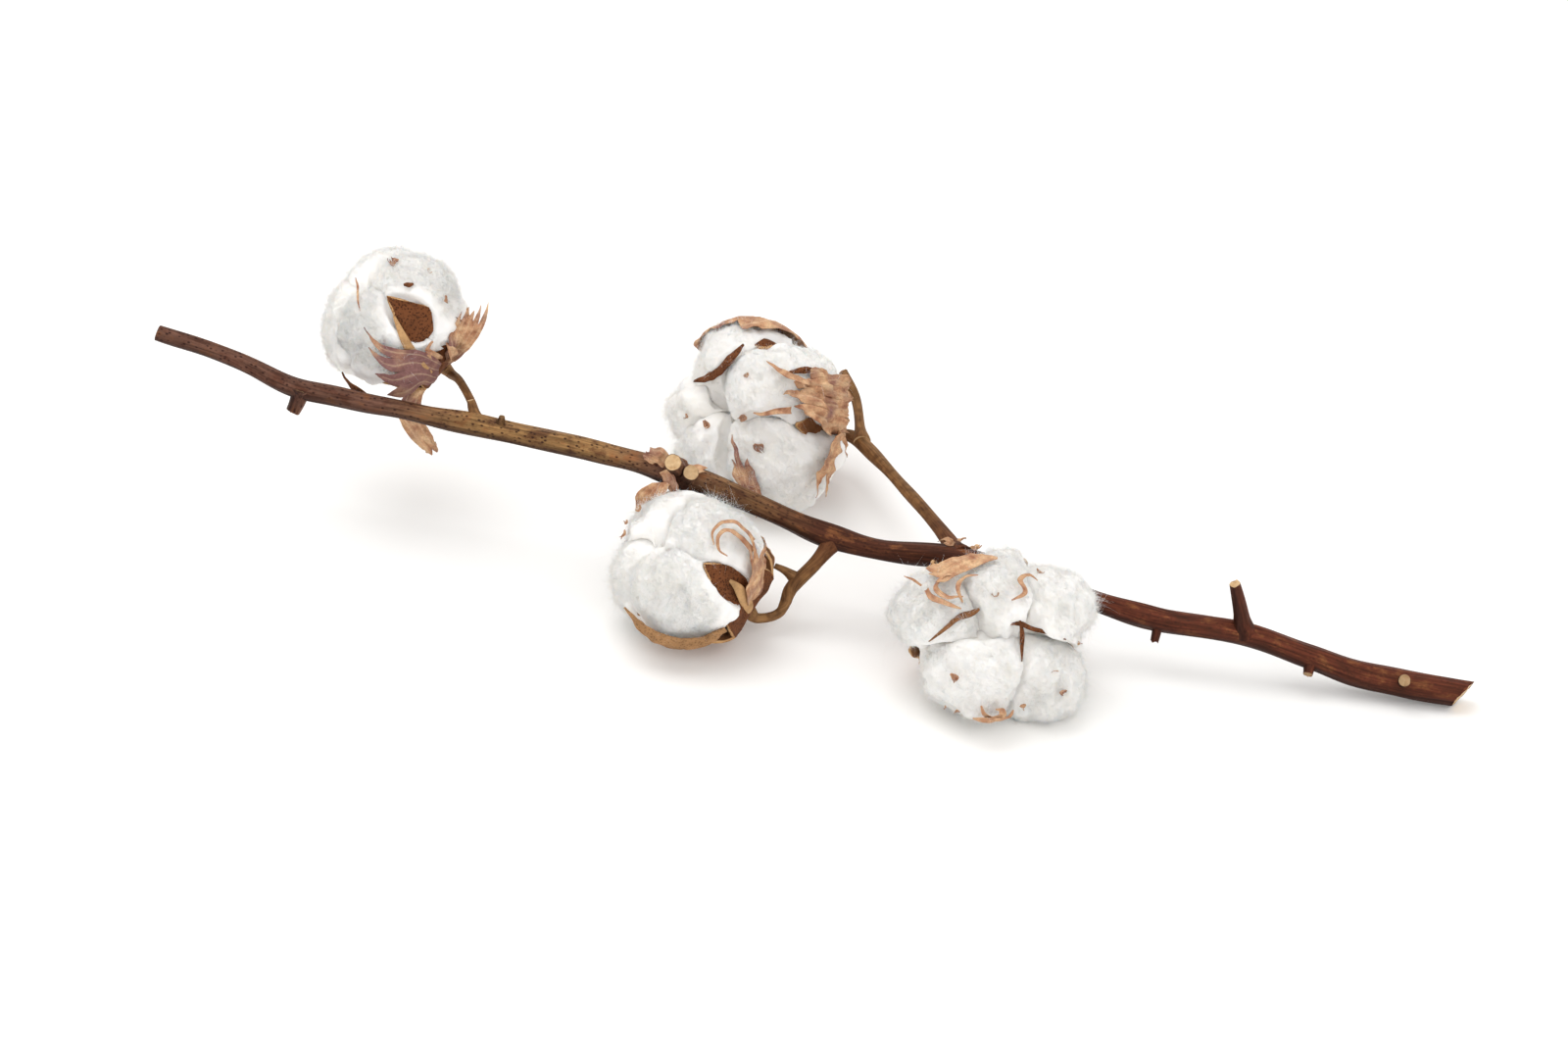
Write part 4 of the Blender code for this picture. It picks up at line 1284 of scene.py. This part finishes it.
def leaf_grids(base, look, seed, columns=11, rows=20):
    """A toothed dry leaf on the surface base(x, s), x from -1 to 1 across and s from 0 at the root to 1.
    Up to its notches it is whole; beyond them each finger narrows to its own tip and curls. Each finger
    has a vein down its middle, which stands proud, and the leaf is crumpled all over."""
    fingers, share, curl, crumple, purple = look
    rng = np.random.default_rng(seed)
    grids = []
    for finger in range(fingers):
        middle = -1 + (2 * finger + 1) / fingers
        across = middle + np.linspace(-1, 1, columns)[None, :] / fingers
        notch = (1 - share) * (1 - 0.12 * across**2 + 0.04 * np.cos(5 * across + seed))
        tip = 1.0 - 0.15 * middle**2 + rng.uniform(-0.8, 0.0) * share
        drift = rng.uniform(-0.2, 0.2) / fingers
        palm = np.linspace(0, 1, rows)[:, None] * notch
        up = np.linspace(0, 1, rows - 3)[1:, None]
        x = np.concatenate([across + 0 * palm, middle + drift * up**2 + (across - middle) * (1 - up**1.4)])
        s = np.concatenate([palm, notch + (tip - notch) * up])
        rise = np.concatenate([0 * palm[:, 0], up[:, 0]])[:, None]
        points = base(x, s)
        normal = normals_of(points, False)
        normal[-1] = normal[-2]
        bow = curl * rng.uniform(0.2, 1.2) * rise**2
        vein = np.exp(-(((across - middle) * fingers / 0.14) ** 2)) * (1 - 0.6 * rise)
        folds = crumple * (ripples(points, 7, seed) + 0.5 * ripples(points, 2.8, seed + 1))
        points = points + normal * (folds * np.minimum(1, 4 * s) + 0.12 * vein - 4.0 * bow)[..., None]
        blush = np.clip(purple + 0.3 * ripples(points, 9, seed + 3), 0, 1) * (purple > 0.05)
        points[..., 2] = np.maximum(points[..., 2], 0.3)
        grids.append((points, False, {"vein": vein + 0 * s, "blush": blush}))
    return grids


def off_lint(points, boll, gap):
    """Pushes points that are inside a lock's ellipsoid out of it, away from its middle."""
    for index in range(len(boll["locks"])):
        middle, axes, halves = lock_body(boll, index)
        inside = (points - middle) @ axes.T / halves
        reach = np.linalg.norm(inside, axis=-1)
        wanted = reach + held_back((1 - reach) * halves.mean() + gap, 0.4) / halves.mean()
        points = middle + ((inside * (wanted / np.maximum(reach, 0.05))[..., None]) * halves) @ axes
    return points


def railed_base(boll, rails):
    """Surface through three rails: between them, a parabola in x at each share s of their lengths."""
    paths = [smooth_path(rail, 0.8) for rail in rails]

    def base(x, s):
        near, middle, far = (
            np.stack([np.interp(s, np.linspace(0, 1, len(path)), path[:, axis]) for axis in range(3)], -1)
            for path in paths
        )
        x = x[..., None]
        points = near * x * (x - 1) / 2 + middle * (1 - x**2) + far * x * (x + 1) / 2
        return off_lint(points, boll, 0.9)

    return base


def turned_base(boll, azimuth, half_width, route):
    """Surface of a bract: its route turned about the boll's axis, widening from the root."""
    own = BollFrame(boll)
    path = smooth_path([(radial, along, 0) for radial, along in route], 0.8)
    steps = np.linspace(0, 1, len(path))

    def base(x, s):
        radial = np.interp(s, steps, path[:, 0])
        along = np.interp(s, steps, path[:, 1])
        width = half_width * (0.3 + 0.7 * np.sin(np.clip(s / 0.7, 0, 1) * math.pi / 2))
        return off_lint(own.point(radial, azimuth + x * width, along), boll, 2.2)

    return base


def scale_base(route, half_width, side):
    """Surface of a loose scale: a strip along its route, widest in the middle."""
    path = smooth_path(route, 0.8)
    steps = np.linspace(0, 1, len(path))
    side = unit(side)

    def base(x, s):
        middle = np.stack([np.interp(s, steps, path[:, axis]) for axis in range(3)], -1)
        width = half_width * (0.35 + 0.65 * np.sin(math.pi * np.clip(0.15 + 0.75 * s, 0, 1)))
        return middle + side * (x * width)[..., None]

    return base


def on_lint(spot, boll):
    """The point of the locks' ellipsoids that is in line with a spot and the middle of its nearest lock."""
    best = None
    for index in range(len(boll["locks"])):
        middle, axes, halves = lock_body(boll, index)
        inside = axes @ (spot - middle) / halves
        reach = np.linalg.norm(inside)
        if best is None or reach < best[0]:
            best = (reach, middle + (inside / reach * halves) @ axes)
    return best[1]


def scrap_base(boll, azimuth, angle, length, half_width, turn):
    """Surface of a scrap: a leaf-shaped patch that lies on the lint, its ends lifted like a bowl."""
    own = BollFrame(boll)
    polar = math.radians(angle)
    spot = own.point(boll["depth"] * math.sin(polar), azimuth, boll["depth"] * math.cos(polar))
    spot = on_lint(spot, boll)
    out = unit(spot - own.centre)
    level = unit(np.cross(out, (0.1, 0.2, 1)))
    ahead = level * math.cos(math.radians(turn)) + np.cross(out, level) * math.sin(math.radians(turn))
    side = np.cross(out, ahead)

    def base(x, s):
        run = s - 0.5
        width = half_width * np.sin(math.pi * np.clip(0.12 + 0.8 * s, 0, 1))
        lift = 1.3 * run**2 * length / 2 + 0.35 * x**2 * half_width + 0.3
        flat = (run * length)[..., None] * ahead + (x * width)[..., None] * side
        return spot + flat + lift[..., None] * out

    return base


def strip_grid(boll, rows, cup, seed, gap=None):
    """Strip along its rows: its width is at right angles to its run and to the boll's outside, and its
    margins rise by `cup` of their distance from the middle."""
    path = smooth_path(rows, 0.5)
    out = unit(path[:, :3] - BollFrame(boll).centre)
    side = unit(np.cross(np.gradient(path[:, :3], axis=0), out))
    x = np.linspace(-1, 1, 9)[None, :, None]
    width = path[:, 3][:, None, None]
    points = path[:, None, :3] + side[:, None] * x * width + out[:, None] * cup * x**2 * width
    if gap is not None:
        points = off_lint(points, boll, gap)
    points += out[:, None] * (0.15 * ripples(points, 4, seed))[..., None]
    points[..., 2] = np.maximum(points[..., 2], 0.4)
    return points


def with_wall(obj, thickness, inner=0, rim=0):
    """Gives a sheet its thickness, half to each side; `inner` and `rim` are material numbers."""
    wall = obj.modifiers.new("Wall", "SOLIDIFY")
    wall.thickness = thickness * MM
    wall.offset = 0.0
    wall.use_even_offset = False
    wall.material_offset = inner
    wall.material_offset_rim = rim


# ---------------------------------------------------------------- operators


class CottonStem(bpy.types.Operator):
    """Make the main stem with its cut stubs and scars"""

    bl_idname = "cotton.main_stem"
    bl_label = "Main stem"

    def execute(self, context):
        bark = stem_bark(context.scene.cotton_bark)
        obj = piece("main_stem_bark", make_stem(), [bark], ["main_stem"])
        obj.data.set_sharp_from_angle(angle=math.radians(55))
        return {"FINISHED"}


class CottonBranches(bpy.types.Operator):
    """Make the side branches and the stalks of the bolls"""

    bl_idname = "cotton.side_branches"
    bl_label = "Side branches"

    def execute(self, context):
        bark = twig_bark(context.scene.cotton_bark)
        for number, name in enumerate(BRANCHES):
            obj = piece(name + "_bark", make_branch(name, 70 + 5 * number), [bark], [name])
            obj.data.set_sharp_from_angle(angle=math.radians(55))
        return {"FINISHED"}


class CottonBurs(bpy.types.Operator):
    """Make the dry fruit walls under the bolls"""

    bl_idname = "cotton.burs"
    bl_label = "Burs"

    def execute(self, context):
        bur = context.scene.cotton_bur
        # The outside's dark valves are partly their own tone, partly painted shade
        outside = bur_wall("Cotton_bur_outside", bur.outside, bur.glands, bur.dark)
        inside = bur_wall("Cotton_bur_inside", bur.inside, bur.glands, bur.inside)
        rim = bur_wall("Cotton_bur_rim", bur.rim, bur.dark, bur.rim)
        for number, (name, boll) in enumerate(BOLLS.items()):
            mesh = make_bur(name, boll, 90 + number)
            obj = piece(name + "_bur_wall", mesh, [outside, inside, rim], [name + "_bur"])
            with_wall(obj, BUR_WALL, 1, 2)
        return {"FINISHED"}


class CottonLint(bpy.types.Operator):
    """Make the locks of lint and their loose fibres"""

    bl_idname = "cotton.lint"
    bl_label = "Lint"

    def execute(self, context):
        settings = context.scene.cotton_lint
        lint, fibre = raw_lint(settings), loose_fibre(settings)
        seed = 200
        for name, boll in BOLLS.items():
            for index in range(len(boll["locks"])):
                node = f"{name}_lock_{index + 1}"
                points, free = lock_grid(boll, index, seed)
                surface = joined_grids(node, [(points, True, {})])
                piece(node + "_lint", surface, [lint], [node])
                hairs = fibre_mesh(node, points, free, settings, seed)
                piece(node + "_fibres", hairs, [fibre])
                seed += 10
        return {"FINISHED"}


class CottonBracts(bpy.types.Operator):
    """Make the dry bracts of the bolls and the scales of the nodes"""

    bl_idname = "cotton.bracts"
    bl_label = "Bracts"

    def execute(self, context):
        papery = dry_bract(context.scene.cotton_bract)
        bases = {}
        for name, (boll, *rails, look) in BRACTS.items():
            bases[name] = (railed_base(BOLLS[boll], rails), look)
        for name, (boll, azimuth, half_width, route, look) in TURNED_BRACTS.items():
            bases[name] = (turned_base(BOLLS[boll], azimuth, half_width, route), look)
        for name, (route, half_width, side, look) in SCALES.items():
            bases[name] = (scale_base(route, half_width, side), look)
        for number, (name, (base, look)) in enumerate(bases.items()):
            mesh = joined_grids(name, leaf_grids(base, look, 500 + 10 * number))
            stands_for = [name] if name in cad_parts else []
            with_wall(piece(name + "_leaf", mesh, [papery], stands_for), BRACT_WALL)
        return {"FINISHED"}


class CottonScraps(bpy.types.Operator):
    """Make the thin curls and the scraps of bract that cling to the lint, and the bur's partitions"""

    bl_idname = "cotton.scraps"
    bl_label = "Curls and scraps"

    def execute(self, context):
        papery = dry_bract(context.scene.cotton_bract)
        bur = context.scene.cotton_bur
        woody = bur_wall("Cotton_bur_partition", bur.rim, bur.glands, bur.dark)
        for number, (name, boll) in enumerate(BOLLS.items()):
            grids = []
            for count, rows in enumerate(CURLS[name]):
                points = strip_grid(boll, rows, 0.5, 800 + 10 * number + count, 0.5)
                zeros = np.zeros(points.shape[:2])
                grids.append((points, False, {"vein": zeros, "blush": zeros + 0.15}))
            for count, scrap in enumerate(SCRAPS[name]):
                base = scrap_base(boll, *scrap)
                grids += leaf_grids(base, (3, 0.5, 0.3, 0.5, 0.1), 900 + 20 * number + count, 7, 9)
            with_wall(piece(name + "_scraps", joined_grids(name, grids), [papery]), SCRAP_WALL)
            grids = []
            for count, (dark, rows) in enumerate(PARTITIONS[name]):
                points = strip_grid(boll, rows, -0.35, 860 + 10 * number + count)
                grids.append((points, False, {"shade": np.full(points.shape[:2], dark)}))
            woody_piece = piece(name + "_partitions", joined_grids(name, grids), [woody])
            with_wall(woody_piece, PARTITION_WALL)
        return {"FINISHED"}


class CottonStage(bpy.types.Operator):
    """Lay a pale floor, light it softly and set the camera"""

    bl_idname = "cotton.stage"
    bl_label = "Stage"

    def execute(self, context):
        scene, settings = context.scene, context.scene.cotton_stage
        scene.view_settings.view_transform = "Standard"
        paper = {"Base Color": linear(settings.floor), "Roughness": 0.9, "Specular IOR Level": 0.1}
        across = np.linspace(-FLOOR_SIDE, FLOOR_SIDE, 3) / 2 / MM
        floor = np.stack([*np.meshgrid(across, across), np.zeros((3, 3))], -1)
        mesh = joined_grids("floor", [(floor, False, {})])
        mesh.materials.append(new_material("Pale_paper_floor", paper))
        obj = bpy.data.objects.new("floor", mesh)
        scene.collection.objects.link(obj)

        world = bpy.data.worlds.new("studio")
        world.use_nodes = True
        world.node_tree.nodes["Background"].inputs["Color"].default_value = STUDIO_WHITE
        world.node_tree.nodes["Background"].inputs["Strength"].default_value = STUDIO_STRENGTH
        scene.world = world
        for name, (spot, side, watts) in SOFTBOXES.items():
            light = bpy.data.lights.new(name, "AREA")
            light.shape = "SQUARE"
            light.size = side
            light.energy = watts
            lamp = bpy.data.objects.new(name, light)
            lamp.matrix_world = look_from(np.array(spot), np.array(LIT_SPOT), 0.0)
            scene.collection.objects.link(lamp)

        camera = bpy.data.cameras.new("camera")
        camera.lens = settings.lens
        camera.sensor_width = SENSOR_WIDTH
        camera.clip_start = NEAR_CLIP
        holder = bpy.data.objects.new("camera", camera)
        target = np.array(VIEW_SPOT)
        back = np.array((0.0, -math.cos(settings.elevation), math.sin(settings.elevation)))
        holder.matrix_world = look_from(target + back * settings.distance, target, settings.roll)
        scene.collection.objects.link(holder)
        scene.camera = holder
        return {"FINISHED"}


def look_from(spot, target, roll):
    """Matrix of a camera or lamp at a spot that looks at a target, turned clockwise by `roll`."""
    ahead = unit(target - spot)
    right = unit(np.cross(ahead, (0, 0, 1)))
    up = np.cross(right, ahead)
    turned_right = right * math.cos(roll) + up * math.sin(roll)
    turned_up = up * math.cos(roll) - right * math.sin(roll)
    columns = np.stack([turned_right, turned_up, -ahead, spot], 1)
    return Matrix(np.vstack([columns, (0, 0, 0, 1)]).tolist())


OPERATORS = (CottonStem, CottonBranches, CottonBurs, CottonLint, CottonBracts, CottonScraps, CottonStage)
SETTINGS = {
    "cotton_bark": CottonBarkSettings,
    "cotton_bur": CottonBurSettings,
    "cotton_bract": CottonBractSettings,
    "cotton_lint": CottonLintSettings,
    "cotton_stage": CottonStageSettings,
}


class CottonPanel(bpy.types.Panel):
    """Lists what makes up the cotton branch"""

    bl_idname = "VIEW3D_PT_cotton_branch"
    bl_label = "Cotton Branch"
    bl_space_type = "VIEW_3D"
    bl_region_type = "UI"
    bl_category = "Cotton"

    def draw(self, context):
        for operator in OPERATORS:
            self.layout.operator(operator.bl_idname)
        for name in SETTINGS:
            box = self.layout.box()
            group = getattr(context.scene, name)
            for field in group.__annotations__:
                box.prop(group, field)


def register():
    """Registers the classes, and hangs each group of settings on the scene."""
    for name, group in SETTINGS.items():
        bpy.utils.register_class(group)
        setattr(bpy.types.Scene, name, bpy.props.PointerProperty(type=group))
    for made in (*OPERATORS, CottonPanel):
        bpy.utils.register_class(made)


def unregister():
    """Undoes what `register` did, in the opposite order."""
    for made in reversed((*OPERATORS, CottonPanel)):
        bpy.utils.unregister_class(made)
    for name, group in SETTINGS.items():
        delattr(bpy.types.Scene, name)
        bpy.utils.unregister_class(group)


def main():
    """Builds the branch on its stage."""
    register()
    bpy.ops.cotton.stage()
    bpy.ops.cotton.main_stem()
    bpy.ops.cotton.side_branches()
    bpy.ops.cotton.burs()
    bpy.ops.cotton.bracts()
    bpy.ops.cotton.scraps()
    bpy.ops.cotton.lint()


if __name__ == "__main__":
    main()
